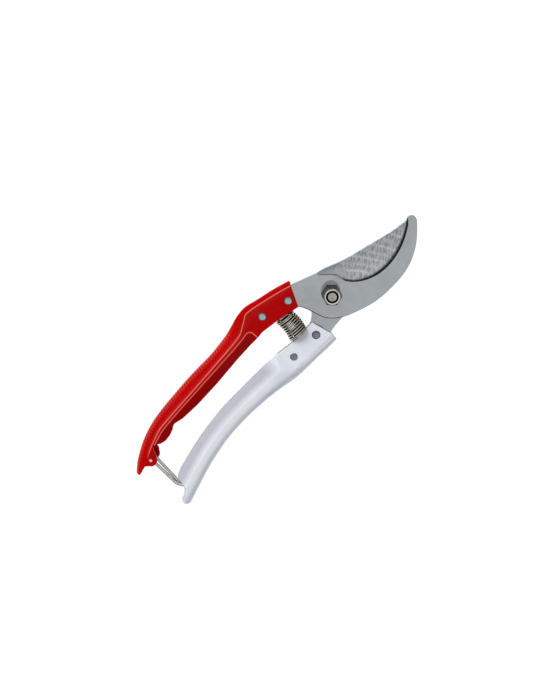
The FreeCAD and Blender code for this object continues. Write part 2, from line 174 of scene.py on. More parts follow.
class ShearsSettings(bpy.types.PropertyGroup):
    handles: bpy.props.PointerProperty(
        type=HandleSettings, name="Handles", description="Sizes of the handles")
    blades: bpy.props.PointerProperty(
        type=BladeSettings, name="Blades", description="Sizes of the blades")
    spring: bpy.props.PointerProperty(
        type=SpringSettings, name="Spring", description="Sizes of the spring")
    colours: bpy.props.PointerProperty(
        type=ColourSettings, name="Colours", description="Colours of the finishes")


def settings():
    return bpy.context.scene.shears


# ---------------------------------------------------------------- shader groups

def group(name, inputs, outputs):
    """A new shader group with its named sockets, and its first and last nodes."""
    tree = bpy.data.node_groups.new(name, "ShaderNodeTree")
    for label, kind, default in inputs:
        socket = tree.interface.new_socket(label, in_out="INPUT", socket_type=kind)
        if default is not None:
            socket.default_value = default
    for label, kind in outputs:
        tree.interface.new_socket(label, in_out="OUTPUT", socket_type=kind)
    start = tree.nodes.new("NodeGroupInput")
    end = tree.nodes.new("NodeGroupOutput")
    return tree, start, end


def add(tree, kind, links=None, **values):
    """A node with its settings; links maps its inputs to other nodes' outputs or to numbers."""
    node = tree.nodes.new(kind)
    for name, value in values.items():
        setattr(node, name, value)
    for key, source in (links or {}).items():
        socket = node.inputs[key]
        if isinstance(source, bpy.types.NodeSocket):
            tree.links.new(source, socket)
        else:
            socket.default_value = source
    return node


def maths(tree, operation, first, second=0.0, clamp=False):
    """The output of one Math node."""
    node = add(tree, "ShaderNodeMath", {0: first, 1: second}, operation=operation,
               use_clamp=clamp)
    return node.outputs[0]


def ramp(tree, value, low, high):
    """0 at low and 1 at high, smoothly."""
    node = add(tree, "ShaderNodeMapRange", {"Value": value, "From Min": low, "From Max": high},
               interpolation_type="SMOOTHSTEP")
    return node.outputs["Result"]


def mix(tree, share, first, second, blend="MIX"):
    """The output of one colour Mix node."""
    node = add(tree, "ShaderNodeMix", data_type="RGBA", blend_type=blend)
    for socket, source in zip((node.inputs[0], node.inputs[6], node.inputs[7]),
                              (share, first, second)):
        if isinstance(source, bpy.types.NodeSocket):
            tree.links.new(source, socket)
        else:
            socket.default_value = source if isinstance(source, float) else (*source, 1.0)
    return node.outputs[2]


def mottle_group():
    """Cloudy light and dark patches, as a tinted colour and as a mask."""
    tree, start, end = group(
        "Mottle", [("Vector", "NodeSocketVector", None), ("Colour", "NodeSocketColor", None),
                   ("Size", "NodeSocketFloat", 0.01), ("Amount", "NodeSocketFloat", 0.1)],
        [("Colour", "NodeSocketColor"), ("Mask", "NodeSocketFloat")])
    scale = maths(tree, "DIVIDE", 1.0, start.outputs["Size"])
    noise = add(tree, "ShaderNodeTexNoise", {"Vector": start.outputs["Vector"], "Scale": scale,
                                             "Detail": 4.0, "Roughness": 0.6})
    patch = ramp(tree, noise.outputs["Fac"], 0.35, 0.65)
    low = maths(tree, "SUBTRACT", 1.0, start.outputs["Amount"])
    high = maths(tree, "ADD", 1.0, start.outputs["Amount"])
    spread = add(tree, "ShaderNodeMapRange", {"Value": patch, "To Min": low, "To Max": high})
    tint = add(tree, "ShaderNodeVectorMath",
               {0: start.outputs["Colour"], "Scale": spread.outputs["Result"]}, operation="SCALE")
    tree.links.new(tint.outputs["Vector"], end.inputs["Colour"])
    tree.links.new(patch, end.inputs["Mask"])
    return tree


def grain_group():
    """Fine height for a surface: specks and a slower waviness under them."""
    tree, start, end = group(
        "Grain", [("Vector", "NodeSocketVector", None), ("Size", "NodeSocketFloat", 0.0003),
                  ("Wave size", "NodeSocketFloat", 0.004), ("Wave share", "NodeSocketFloat", 0.5)],
        [("Height", "NodeSocketFloat")])
    fine = add(tree, "ShaderNodeTexNoise",
               {"Vector": start.outputs["Vector"], "Detail": 2.0,
                "Scale": maths(tree, "DIVIDE", 1.0, start.outputs["Size"])})
    slow = add(tree, "ShaderNodeTexNoise",
               {"Vector": start.outputs["Vector"], "Detail": 1.0,
                "Scale": maths(tree, "DIVIDE", 1.0, start.outputs["Wave size"])})
    waved = maths(tree, "MULTIPLY", slow.outputs["Fac"], start.outputs["Wave share"])
    tree.links.new(maths(tree, "ADD", fine.outputs["Fac"], waved), end.inputs["Height"])
    return tree


def turned_group():
    """Fine rings about a piece's axis, as a lathe leaves them."""
    tree, start, end = group(
        "Turned rings",
        [("Vector", "NodeSocketVector", None), ("Pitch", "NodeSocketFloat", 0.0004)],
        [("Height", "NodeSocketFloat")])
    parts = add(tree, "ShaderNodeSeparateXYZ", {0: start.outputs["Vector"]})
    flat = add(tree, "ShaderNodeCombineXYZ", {0: parts.outputs[0], 1: parts.outputs[1]})
    radius = add(tree, "ShaderNodeVectorMath", {0: flat.outputs[0]}, operation="LENGTH")
    turns = maths(tree, "DIVIDE", radius.outputs["Value"], start.outputs["Pitch"])
    wobble = add(tree, "ShaderNodeTexNoise", {"Vector": start.outputs["Vector"], "Scale": 900.0})
    phase = maths(tree, "ADD", turns, wobble.outputs["Fac"])
    wave = maths(tree, "SINE", maths(tree, "MULTIPLY", phase, math.tau))
    tree.links.new(wave, end.inputs["Height"])
    return tree


def grinding_group():
    """Curved grinding arcs: their fine lines as a height, and bright bands along them as a mask for a
    painted sheen.
    """
    tree, start, end = group(
        "Grinding arcs",
        [("Vector", "NodeSocketVector", None), ("Pitch", "NodeSocketFloat", 0.0056),
         ("Line pitch", "NodeSocketFloat", 0.00045)],
        [("Height", "NodeSocketFloat"), ("Painted sheen", "NodeSocketFloat")])
    radius = add(tree, "ShaderNodeVectorMath", {0: start.outputs["Vector"]}, operation="LENGTH")
    bend = add(tree, "ShaderNodeTexNoise", {"Vector": start.outputs["Vector"], "Scale": 70.0,
                                            "Detail": 3.0})
    shift = maths(tree, "MULTIPLY", bend.outputs["Fac"], 0.0022)
    place = maths(tree, "ADD", radius.outputs["Value"], shift)
    turn = maths(tree, "MULTIPLY", maths(tree, "DIVIDE", place, start.outputs["Pitch"]), math.tau)
    swell = maths(tree, "MULTIPLY_ADD", maths(tree, "SINE", turn), 0.5)
    swell.node.inputs[2].default_value = 0.5
    half_turn = maths(tree, "MULTIPLY", turn, 0.5)
    slow = maths(tree, "MULTIPLY_ADD", maths(tree, "SINE", half_turn), 0.3)
    slow.node.inputs[2].default_value = 0.7
    crest = maths(tree, "MULTIPLY", maths(tree, "POWER", swell, 2.6), slow)
    broken = add(tree, "ShaderNodeTexNoise", {"Vector": start.outputs["Vector"], "Scale": 420.0,
                                              "Detail": 3.0, "Roughness": 0.7})
    specks = add(tree, "ShaderNodeMapRange", {"Value": broken.outputs["Fac"], "From Min": 0.3,
                                              "From Max": 0.65, "To Min": 0.3}).outputs["Result"]
    painted_sheen = maths(tree, "MULTIPLY", crest, specks)
    line = maths(tree, "MULTIPLY",
                 maths(tree, "DIVIDE", place, start.outputs["Line pitch"]), math.tau)
    height = maths(tree, "ADD", maths(tree, "SINE", line), broken.outputs["Fac"])
    tree.links.new(height, end.inputs["Height"])
    tree.links.new(painted_sheen, end.inputs["Painted sheen"])
    return tree


def shared(name):
    """A shader group, built on its first use."""
    makers = {"Mottle": mottle_group, "Grain": grain_group, "Turned rings": turned_group,
              "Grinding arcs": grinding_group}
    return bpy.data.node_groups.get(name) or makers[name]()


def use(tree, name, links):
    """A shader group placed in a material with its own values."""
    node = tree.nodes.new("ShaderNodeGroup")
    node.node_tree = shared(name)
    for key, source in links.items():
        if isinstance(source, bpy.types.NodeSocket):
            tree.links.new(source, node.inputs[key])
        else:
            node.inputs[key].default_value = source
    return node


# ---------------------------------------------------------------- materials

def blank(name):
    """A new material with its tree, its shader and its object coordinates."""
    material = bpy.data.materials.new(name)
    material.use_nodes = True
    tree = material.node_tree
    shader = tree.nodes["Principled BSDF"]
    place = tree.nodes.new("ShaderNodeTexCoord").outputs["Object"]
    return material, tree, shader, place


def bump(tree, shader, height, distance):
    """Relief on a surface, from a height and its distance in metres."""
    node = add(tree, "ShaderNodeBump", {"Height": height, "Distance": distance,
                                        "Strength": 1.0})
    tree.links.new(node.outputs["Normal"], shader.inputs["Normal"])


def enamel(name, colour, amount, lit, shaded, gloss):
    """Gloss enamel, with a painted highlight over the creases and painted shade where the sheet turns
    inward.
    """
    material, tree, shader, place = blank(name)
    cloud = use(tree, "Mottle", {"Vector": place, "Colour": (*colour, 1.0), "Size": 0.02,
                                 "Amount": amount})
    # crease gives each point's share of painted highlight (lit), shade its share of painted shade (shaded)
    crease = add(tree, "ShaderNodeAttribute", attribute_name="crease")
    shade = add(tree, "ShaderNodeAttribute", attribute_name="shade")
    with_painted_shade = mix(tree, shade.outputs["Fac"], cloud.outputs["Colour"], shaded)
    tree.links.new(mix(tree, crease.outputs["Fac"], with_painted_shade, lit), shader.inputs["Base Color"])
    smear = add(tree, "ShaderNodeMapRange", {"Value": cloud.outputs["Mask"], "To Min": 0.12,
                                             "To Max": 0.18})
    tree.links.new(smear.outputs["Result"], shader.inputs["Roughness"])
    peel = use(tree, "Grain", {"Vector": place, "Size": 0.0009, "Wave size": 0.005,
                               "Wave share": 1.5})
    bump(tree, shader, peel.outputs["Height"], 0.00002)
    shader.inputs["Specular IOR Level"].default_value = gloss
    return material


def steel(name, colour, roughness, grain, size=0.006, amount=0.06):
    """Metal with faint clouding and a fine grain."""
    material, tree, shader, place = blank(name)
    shader.inputs["Metallic"].default_value = 1.0
    cloud = use(tree, "Mottle", {"Vector": place, "Colour": (*colour, 1.0), "Size": size,
                                 "Amount": amount})
    tree.links.new(cloud.outputs["Colour"], shader.inputs["Base Color"])
    spread = add(tree, "ShaderNodeMapRange", {"Value": cloud.outputs["Mask"],
                                              "To Min": roughness * 0.85,
                                              "To Max": roughness * 1.15})
    tree.links.new(spread.outputs["Result"], shader.inputs["Roughness"])
    speck = use(tree, "Grain", {"Vector": place, "Size": 0.0002, "Wave size": 0.003,
                                "Wave share": 0.6})
    bump(tree, shader, speck.outputs["Height"], grain)
    return material


def blade_material():
    """Satin steel, with the cutting blade's ground face and a painted sheen in bright curved bands along its
    grinding arcs.
    """
    opts = settings().blades
    colour = tuple(settings().colours.steel)
    material, tree, shader, place = blank("Ground blade steel")
    shader.inputs["Metallic"].default_value = 1.0
    cloud = use(tree, "Mottle", {"Vector": place, "Colour": (*colour, 1.0), "Size": 0.009,
                                 "Amount": 0.05})
    wheel = add(tree, "ShaderNodeMapping", {"Vector": place, "Location": (0.035, 0.039, 0.0),
                                            "Scale": (1.0, 1.0, 0.0)})
    arcs = use(tree, "Grinding arcs", {"Vector": wheel.outputs["Vector"],
                                       "Pitch": opts.arc_pitch * MM})
    parts = add(tree, "ShaderNodeSeparateXYZ", {0: place})
    slant = maths(tree, "MULTIPLY_ADD", parts.outputs[1], -0.25)
    tree.links.new(parts.outputs[0], slant.node.inputs[2])
    start = opts.ground_from * MM
    ground = ramp(tree, slant, start - 0.0008, start + 0.0008)
    streaks = add(tree, "ShaderNodeMapping", {"Vector": place, "Rotation": (0.0, 0.0, 0.56),
                                              "Scale": (4.0, 1.0, 1.0)}, vector_type="TEXTURE")
    streak = add(tree, "ShaderNodeTexNoise", {"Vector": streaks.outputs["Vector"],
                                              "Scale": 1500.0, "Detail": 3.0})
    streak_mask = ramp(tree, streak.outputs["Fac"], 0.38, 0.62)
    dark = tuple(channel * 0.9 for channel in colour)
    rough_ground = mix(tree, streak_mask, dark, tuple(min(1.0, c * 1.5) for c in colour))
    # Bright bands along the grinding arcs, a painted sheen
    bright = mix(tree, arcs.outputs["Painted sheen"], rough_ground, (0.95, 0.97, 0.98))
    tree.links.new(mix(tree, ground, cloud.outputs["Colour"], bright),
                   shader.inputs["Base Color"])
    finish = add(tree, "ShaderNodeMapRange", {"Value": ground, "To Min": 0.2, "To Max": 0.36})
    tree.links.new(finish.outputs["Result"], shader.inputs["Roughness"])
    speck = use(tree, "Grain", {"Vector": place, "Size": 0.00025, "Wave size": 0.004,
                                "Wave share": 0.8})
    scored = maths(tree, "MULTIPLY", arcs.outputs["Height"], ground)
    height = maths(tree, "ADD", speck.outputs["Height"], scored)
    bump(tree, shader, height, 0.000004)
    return material


def hook_material():
    """Satin steel, bright enough to mirror, with a darker patch about the nut that is a painted reflection
    of it.
    """
    colour = tuple(settings().colours.steel)
    material = steel("Hook steel", colour, 0.13, 0.0000012, 0.012, 0.05)
    tree = material.node_tree
    shader = tree.nodes["Principled BSDF"]
    base = shader.inputs["Base Color"].links[0].from_socket
    place = tree.nodes["Texture Coordinate"].outputs["Object"]
    # An oval about the pivot, darkened as a painted reflection of the nut
    turned = add(tree, "ShaderNodeMapping", {"Vector": place, "Location": (0.0011, 0.0018, 0.0),
                                             "Rotation": (0.0, 0.0, math.radians(42.5)),
                                             "Scale": (0.0063, 0.0054, 1000.0)},
                 vector_type="TEXTURE")
    away = add(tree, "ShaderNodeVectorMath", {0: turned.outputs["Vector"]}, operation="LENGTH")
    patch = ramp(tree, away.outputs["Value"], 1.06, 0.94)
    nut_reflection_colour = tuple(channel * 0.55 for channel in colour)
    tree.links.new(mix(tree, patch, base, nut_reflection_colour), shader.inputs["Base Color"])
    return material


def wire_steel(name, bright, dark, reach=None):
    """Drawn wire with a painted highlight along its middle as seen, or along its marked outer side, and a
    darker colour elsewhere as painted shade.
    """
    material, tree, shader, place = blank(name)
    shader.inputs["Metallic"].default_value = 1.0
    cloud = use(tree, "Mottle", {"Vector": place, "Colour": (*bright, 1.0), "Size": 0.002,
                                 "Amount": 0.12})
    if reach:
        facing = add(tree, "ShaderNodeLayerWeight").outputs["Facing"]
        side = ramp(tree, facing, reach * 0.55, reach)
    else:
        outer = add(tree, "ShaderNodeAttribute", attribute_name="outer").outputs["Fac"]
        side = ramp(tree, outer, 0.97, 0.85)
    # bright is the painted highlight colour, dark the painted shade colour
    tree.links.new(mix(tree, side, cloud.outputs["Colour"], dark), shader.inputs["Base Color"])
    spread = add(tree, "ShaderNodeMapRange", {"Value": cloud.outputs["Mask"], "To Min": 0.34,
                                              "To Max": 0.44})
    tree.links.new(spread.outputs["Result"], shader.inputs["Roughness"])
    speck = use(tree, "Grain", {"Vector": place, "Size": 0.0004, "Wave size": 0.003,
                                "Wave share": 0.6})
    bump(tree, shader, speck.outputs["Height"], 0.000001)
    return material


def turned_steel(name, colour, roughness, pitch, distance):
    """Metal with the fine rings a lathe leaves."""
    material, tree, shader, place = blank(name)
    shader.inputs["Metallic"].default_value = 1.0
    cloud = use(tree, "Mottle", {"Vector": place, "Colour": (*colour, 1.0), "Size": 0.0012,
                                 "Amount": 0.16})
    tree.links.new(cloud.outputs["Colour"], shader.inputs["Base Color"])
    spread = add(tree, "ShaderNodeMapRange", {"Value": cloud.outputs["Mask"],
                                              "To Min": roughness * 0.7,
                                              "To Max": roughness * 1.3})
    tree.links.new(spread.outputs["Result"], shader.inputs["Roughness"])
    rings = use(tree, "Turned rings", {"Vector": place, "Pitch": pitch})
    bump(tree, shader, rings.outputs["Height"], distance)
    return material


def nylon_material():
    """Matt black nylon."""
    material, tree, shader, place = blank("Black nylon")
    cloud = use(tree, "Mottle", {"Vector": place, "Colour": (0.004, 0.004, 0.004, 1.0),
                                 "Size": 0.001, "Amount": 0.25})
    tree.links.new(cloud.outputs["Colour"], shader.inputs["Base Color"])
    shader.inputs["Roughness"].default_value = 0.6
    shader.inputs["Specular IOR Level"].default_value = 0.1
    speck = use(tree, "Grain", {"Vector": place, "Size": 0.0003, "Wave size": 0.001,
                                "Wave share": 0.5})
    bump(tree, shader, speck.outputs["Height"], 0.00003)
    return material


# ---------------------------------------------------------------- shaping

def cad_shape(node):
    """A CAD node's shape as one closed mesh with whole flat faces, in millimetres."""
    bm = bmesh.new()
    bm.from_mesh(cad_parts[node].data)
    bmesh.ops.scale(bm, vec=(1 / MM,) * 3, verts=bm.verts)
    bmesh.ops.remove_doubles(bm, verts=bm.verts, dist=2e-4)
    bmesh.ops.dissolve_limit(bm, angle_limit=math.radians(0.2), verts=bm.verts, edges=bm.edges)
    return bm


def sharp_edges(bm, degrees):
    """Edges whose faces meet at more than an angle."""
    limit = math.radians(degrees)
    return [e for e in bm.edges if len(e.link_faces) == 2 and e.calc_face_angle(0.0) > limit]


def bevel(bm, edges, width, clamp=True):
    bmesh.ops.bevel(bm, geom=edges, offset=width, offset_type="OFFSET", affect="EDGES",
                    segments=2, profile=0.5, material=-1, clamp_overlap=clamp)


def mesh_object(name, bm, materials, angle=35.0):
    """A mesh object in metres from a bmesh in millimetres, smooth but for its sharp edges."""
    bmesh.ops.scale(bm, vec=(MM,) * 3, verts=bm.verts)
    mesh = bpy.data.meshes.new(name)
    bm.to_mesh(mesh)
    bm.free()
    for material in materials:
        mesh.materials.append(material)
    mesh.shade_smooth()
    mesh.set_sharp_from_angle(angle=math.radians(angle))
    piece = bpy.data.objects.new(name, mesh)
    bpy.context.scene.collection.objects.link(piece)
    return piece


def fix(piece, body, slot, *nodes):
    """Puts a piece on its body and hides the CAD nodes it stands for; its slot is not used."""
    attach(piece, body)
    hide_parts(*nodes)


def applied(piece):
    """The piece with its modifiers made part of its mesh."""
    graph = bpy.context.evaluated_depsgraph_get()
    graph.update()
    mesh = bpy.data.meshes.new_from_object(piece.evaluated_get(graph))
    piece.modifiers.clear()
    old = piece.data
    piece.data = mesh
    mesh.name = piece.name
    bpy.data.meshes.remove(old)
    return piece


def smooth_through(table):
    """A function of x through a table of (x, values...), monotone between the rows."""
    rows = sorted(table)
    xs = [row[0] for row in rows]
    columns = [[row[k] for row in rows] for k in range(1, len(rows[0]))]
    spans = [b - a for a, b in zip(xs, xs[1:])]
    slopes = []
    for column in columns:
        rise = [(b - a) / s for a, b, s in zip(column, column[1:], spans)]
        inner = [0.0 if p * q <= 0 else 2 * p * q / (p + q) for p, q in zip(rise, rise[1:])]
        slopes.append([rise[0]] + inner + [rise[-1]])

    def at(x):
        x = min(max(x, xs[0]), xs[-1])
        i = max(k for k in range(len(xs) - 1) if xs[k] <= x)
        t = (x - xs[i]) / spans[i]
        values = []
        for column, slope in zip(columns, slopes):
            a, b = column[i], column[i + 1]
            m, n = slope[i] * spans[i], slope[i + 1] * spans[i]
            values.append((2 * t ** 3 - 3 * t ** 2 + 1) * a + (t ** 3 - 2 * t ** 2 + t) * m
                          + (3 * t ** 2 - 2 * t ** 3) * b + (t ** 3 - t ** 2) * n)
        return values
    return at


def rounded(points, reaches, steps):
    """An open line of (y, h) points whose corners are turned into curves."""
    line = [Vector(p) for p in points]
    result = [line[0]]
    for before, corner, after, reach in zip(line, line[1:], line[2:], reaches):
        first, last = before - corner, after - corner
        size = min(reach, 0.48 * first.length, 0.48 * last.length)
        start = corner + first.normalized() * size
        end = corner + last.normalized() * size
        for i in range(steps + 1):
            t = i / steps
            result.append(start * (1 - t) ** 2 + corner * (2 * t * (1 - t)) + end * t ** 2)
    result.append(line[-1])
    return result


def soft_ramp(distance, width):
    """Zero before zero and rising one for one after it, with a rounded start."""
    return 0.5 * (distance + math.sqrt(distance * distance + width * width))


def spread_rows(zones):
    """Row positions through zones of (start, end, pitch), from the head to the tail."""
    rows = []
    for start, end, pitch in zones:
        count = max(1, round(abs(end - start) / pitch))
        rows += [start + (end - start) * i / count for i in range(count)]
    return rows + [zones[-1][1]]


def sheet_from_rows(rows):
    """A sheet whose crossing lines run through rows of points, all of one length."""
    bm = bmesh.new()
    columns = len(rows[0])
    bmesh.ops.create_grid(bm, x_segments=columns - 1, y_segments=len(rows) - 1, size=1.0)
    bm.verts.ensure_lookup_table()
    for i, row in enumerate(rows):
        for j, point in enumerate(row):
            bm.verts[i * columns + j].co = point
    bmesh.ops.remove_doubles(bm, verts=bm.verts, dist=1e-4)
    bmesh.ops.dissolve_degenerate(bm, edges=bm.edges, dist=1e-4)
    bm.faces.ensure_lookup_table()
    bm.normal_update()
    top = max(bm.faces, key=lambda f: f.calc_center_median().z)
    if top.normal.z < 0:
        bmesh.ops.reverse_faces(bm, faces=bm.faces)
    return bm


def pressed_sheet(name, rows, materials, tone, press=None):
    """Gives a swept sheet its wall, presses its outer skin and rounds the wall's cut edges.

    tone gives each outer point's share of painted highlight along the creases and of painted shade, for the
    enamel.
    """
    opts = settings().handles
    piece = mesh_object(name, sheet_from_rows(rows), materials * 2)
    outer = len(piece.data.vertices)
    wall = piece.modifiers.new("Wall", "SOLIDIFY")
    wall.thickness = opts.wall * MM
    wall.offset = -1.0
    wall.use_even_offset = True
    wall.material_offset_rim = 1
    applied(piece)
    bm = bmesh.new()
    bm.from_mesh(piece.data)
    # Layers for the shares of painted highlight and painted shade
    crease, shade = (bm.verts.layers.float.new(kind) for kind in ("crease", "shade"))
    bm.verts.ensure_lookup_table()
    for i in range(outer):
        vert = bm.verts[i]
        vert[crease], vert[shade] = tone(vert.co / MM)
        if press:
            vert.co.y += press(vert.co / MM) * MM
    rim = [e for e in bm.edges if len({f.material_index for f in e.link_faces}) == 2]
    bevel(bm, rim, opts.edge_round * MM, clamp=False)
    for face in bm.faces:
        face.material_index = 0
    bm.to_mesh(piece.data)
    bm.free()
    piece.data.materials.pop()
    return piece


def bore(piece, centre, radius, low, high):
    """Cuts a round hole along Z through the piece."""
    bm = bmesh.new()
    bmesh.ops.create_cone(bm, cap_ends=True, segments=32, radius1=radius, radius2=radius,
                          depth=high - low)
    bmesh.ops.translate(bm, vec=(centre.x, centre.y, (low + high) / 2), verts=bm.verts)
    drill = mesh_object("Drill", bm, [])
    cut = piece.modifiers.new("Bore", "BOOLEAN")
    cut.operation = "DIFFERENCE"
    cut.solver = "MANIFOLD"
    cut.object = drill
    applied(piece)
    bpy.data.objects.remove(drill)
    piece.data.shade_smooth()
    piece.data.set_sharp_from_angle(angle=math.radians(35.0))


def wire(name, points, radius, material):
    """A round wire through points, as a mesh, with closed ends."""
    curve = bpy.data.curves.new(name, "CURVE")
    curve.dimensions = "3D"
    curve.bevel_depth = radius * MM
    curve.bevel_resolution = 5
    curve.use_fill_caps = True
    line = curve.splines.new("POLY")
    line.points.add(len(points) - 1)
    for place, point in zip(line.points, points):
        place.co = (*(Vector(point) * MM), 1.0)
    holder = bpy.data.objects.new(name + " line", curve)
    bpy.context.scene.collection.objects.link(holder)
    graph = bpy.context.evaluated_depsgraph_get()
    graph.update()
    mesh = bpy.data.meshes.new_from_object(holder.evaluated_get(graph))
    bpy.data.objects.remove(holder)
    bm = bmesh.new()
    bm.from_mesh(mesh)
    bmesh.ops.remove_doubles(bm, verts=bm.verts, dist=1e-7)
    bmesh.ops.recalc_face_normals(bm, faces=bm.faces)
    bm.to_mesh(mesh)
    bm.free()
    mesh.name = name
    mesh.materials.clear()
    mesh.materials.append(material)
    mesh.shade_smooth()
    mesh.set_sharp_from_angle(angle=math.radians(50.0))
    piece = bpy.data.objects.new(name, mesh)
    bpy.context.scene.collection.objects.link(piece)
    return piece


def lathe(name, profile, centre, materials, steps):
    """A turned piece from (radius, height) points, spun about its own upright axis."""
    bm = bmesh.new()
    verts = [bm.verts.new((radius, 0.0, height)) for radius, height in profile]
    edges = [bm.edges.new(pair) for pair in zip(verts, verts[1:])]
    bmesh.ops.spin(bm, geom=verts + edges, cent=(0, 0, 0), axis=(0, 0, 1), dvec=(0, 0, 0),
                   angle=math.tau, steps=steps, use_merge=True, use_normal_flip=False,
                   use_duplicate=False)
    bmesh.ops.remove_doubles(bm, verts=bm.verts, dist=1e-5)
    bmesh.ops.recalc_face_normals(bm, faces=bm.faces)
    bmesh.ops.translate(bm, vec=centre, verts=bm.verts)
    return mesh_object(name, bm, materials)


def arc_points(points, radius, steps=6):
    """A path whose corners are arcs of one radius."""
    line = [Vector(p) for p in points]
    path = [line[0]]
    for before, corner, after in zip(line, line[1:], line[2:]):
        inward, outward = (before - corner).normalized(), (after - corner).normalized()
        half = inward.angle(outward) / 2
        hub = corner + (inward + outward).normalized() * (radius / math.sin(half))
        first = corner + inward * (radius / math.tan(half)) - hub
        last = corner + outward * (radius / math.tan(half)) - hub
        turn = first.angle(last)
        axis = first.cross(last).normalized()
        for i in range(steps + 1):
            path.append(hub + Matrix.Rotation(turn * i / steps, 3, axis) @ first)
    path.append(line[-1])
    return path


# ---------------------------------------------------------------- the red handle

# x, middle plane, back, outer crease, inner crease, half height, fall of the inner side
RED_SECTIONS = [
    (-4.0, HOOK_MID, 20.6, 18.2, 15.0, 2.85, 0.42),
    (-20.0, HOOK_MID, 26.0, 23.3, 19.0, 2.85, 0.42),
    (-30.0, HOOK_MID, 28.6, 26.0, 20.5, 2.85, 0.42),
    (-40.0, HOOK_MID, 31.0, 28.0, 21.5, 2.85, 0.42),
    (-45.0, HOOK_MID - 0.25, 30.6, 25.6, 20.8, 3.6, 0.42),
    (-52.0, GRIP_MID, 28.9, 22.6, 20.1, 6.6, 0.42),
    (-60.0, GRIP_MID, 27.4, 22.0, 19.8, 7.8, 0.42),
    (-74.0, GRIP_MID, 26.5, 21.5, 19.5, 8.0, 0.42),
    (-88.0, GRIP_MID, 26.8, 21.0, 19.2, 8.0, 0.42),
    (-110.0, GRIP_MID, 26.1, 20.4, 18.7, 8.0, 0.42),
    (-122.0, GRIP_MID, 25.1, 19.8, 18.0, 7.9, 0.36),
    (-131.0, GRIP_MID, 23.3, 17.5, 16.0, 7.5, 0.30),
    (-136.0, GRIP_MID, 21.8, 15.8, 14.5, 6.7, 0.04),
    (-142.0, GRIP_MID, 19.4, 13.3, 12.2, 6.5, 0.0),
    (-150.0, GRIP_MID, 15.2, 9.8, 8.8, 6.2, 0.0),
    (-157.0, GRIP_MID, 10.2, 5.6, 4.6, 5.6, 0.0)]
RED_EDGE = [(-10.0, 7.5), (-17.4, 9.2), (-32.6, 12.7), (-41.4, 14.2), (-48.0, 14.0),
            (-62.0, 14.1), (-80.0, 13.1), (-98.0, 12.9), (-110.0, 13.8), (-116.2, 15.6),
            (-118.6, 13.8), (-122.4, 12.6), (-127.0, 12.2), (-130.2, 13.3), (-132.4, 15.4),
            (-135.0, 14.6), (-136.6, 12.9), (-137.0, 10.9), (-138.6, 9.0)]
RED_TAIL = [(-145.36, 9.02), (-147.4, 11.0), (-154.4, 9.6), (-155.3, 11.2)]
EAR_LOBE = 3.8
RED_MOUTH, RED_MOUTH_LEAN, RED_LEAN_RUN = -17.4, 0.5238, 20.0
GROOVES_FROM, GROOVES_TO = -52.0, -146.0
RED_AT = smooth_through(RED_SECTIONS)


def red_edge(x):
    """The inner edge of the red handle's cheeks."""
    if -145.36 < x < -138.6:
        return EAR.y - math.sqrt(EAR_LOBE ** 2 - (x - EAR.x) ** 2)
    table = RED_EDGE if x >= -138.6 else RED_TAIL
    for (x0, y0), (x1, y1) in zip(table, table[1:]):
        if x1 <= x <= x0:
            return y0 + (y1 - y0) * (x - x0) / (x1 - x0)
    return table[-1][1]


def clipped(points, edge):
    """Half a section with nothing inside its edge."""
    result = []
    for i, point in enumerate(points):
        if point.x < edge:
            later = next((k for k in range(i, len(points)) if points[k].x >= edge), None)
            if later is None:
                point = points[-1].copy()
            else:
                a, b = points[later - 1], points[later]
                share = (edge - a.x) / max(b.x - a.x, 1e-6)
                point = a.lerp(b, min(max(share, 0.0), 1.0))
        result.append(point.copy())
    return result


FLANK = [0.0, 0.08, 0.2, 0.34, 0.48, 0.62, 0.74, 0.82, 0.88, 0.925, 0.96, 0.98, 1.0]


def past_ridge(x, side):
    """Depth inside the sloped inner side, whose front corner is rounded."""
    ahead = -45.6 - x
    if side < 3.0 and ahead < 3.0:
        return 3.0 - math.hypot(3.0 - side, 3.0 - ahead)
    return min(side, ahead)


def red_half(x):
    """Upper half of the red section at x: (y, height above the middle plane), edge to back."""
    opts = settings().handles
    middle, back, crease, ridge, height, fall = RED_AT(x)
    edge = red_edge(x)
    width = back - crease
    outline = rounded([(ridge, height), (crease, height),
                       (crease + 0.62 * width, 0.78 * height), (back, 0.3 * height), (back, 0.0)],
                      [opts.crease_round, 0.5 * width, 2.2], 5)
    start = min(edge, ridge)
    flank = [Vector((start + (ridge - start) * t, height)) for t in FLANK]
    strip = [Vector((ridge + step, height)) for step in (0.22, 0.4)]
    points = clipped(flank + strip + outline[1:], edge)
    for point in points:
        fallen = fall * soft_ramp(past_ridge(x, ridge - point.x), opts.crease_round)
        point.y = max(point.y - fallen, 0.0)
    return middle, points


def red_rows():
    """Rows of the red handle; its mouth leans, and the rows are closest along the grooves."""
    step = settings().handles.groove_pitch / 8
    rows = []
    for x in spread_rows([(RED_MOUTH, -40.0, 1.1), (-40.0, -44.0, 0.5),
                          (-44.0, GROOVES_FROM, 0.25), (GROOVES_FROM, GROOVES_TO, step),
                          (GROOVES_TO, -155.3, 0.45)]):
        lean = RED_MOUTH_LEAN * max(0.0, 1 - (RED_MOUTH - x) / RED_LEAN_RUN)
        edge = red_edge(x)
        middle, half = red_half(x)
        if lean:
            for k, point in enumerate(half):
                y = point.x
                for _ in range(4):
                    y = max(red_half(x + lean * (y - edge))[1][k].x, edge)
                half[k] = Vector((y, point.y))
        top = [Vector((x + lean * (p.x - edge), p.x, middle + p.y)) for p in half]
        low = [Vector((p.x, p.y, 2 * middle - p.z)) for p in reversed(top[:-1])]
        rows.append(top + low)
    return rows


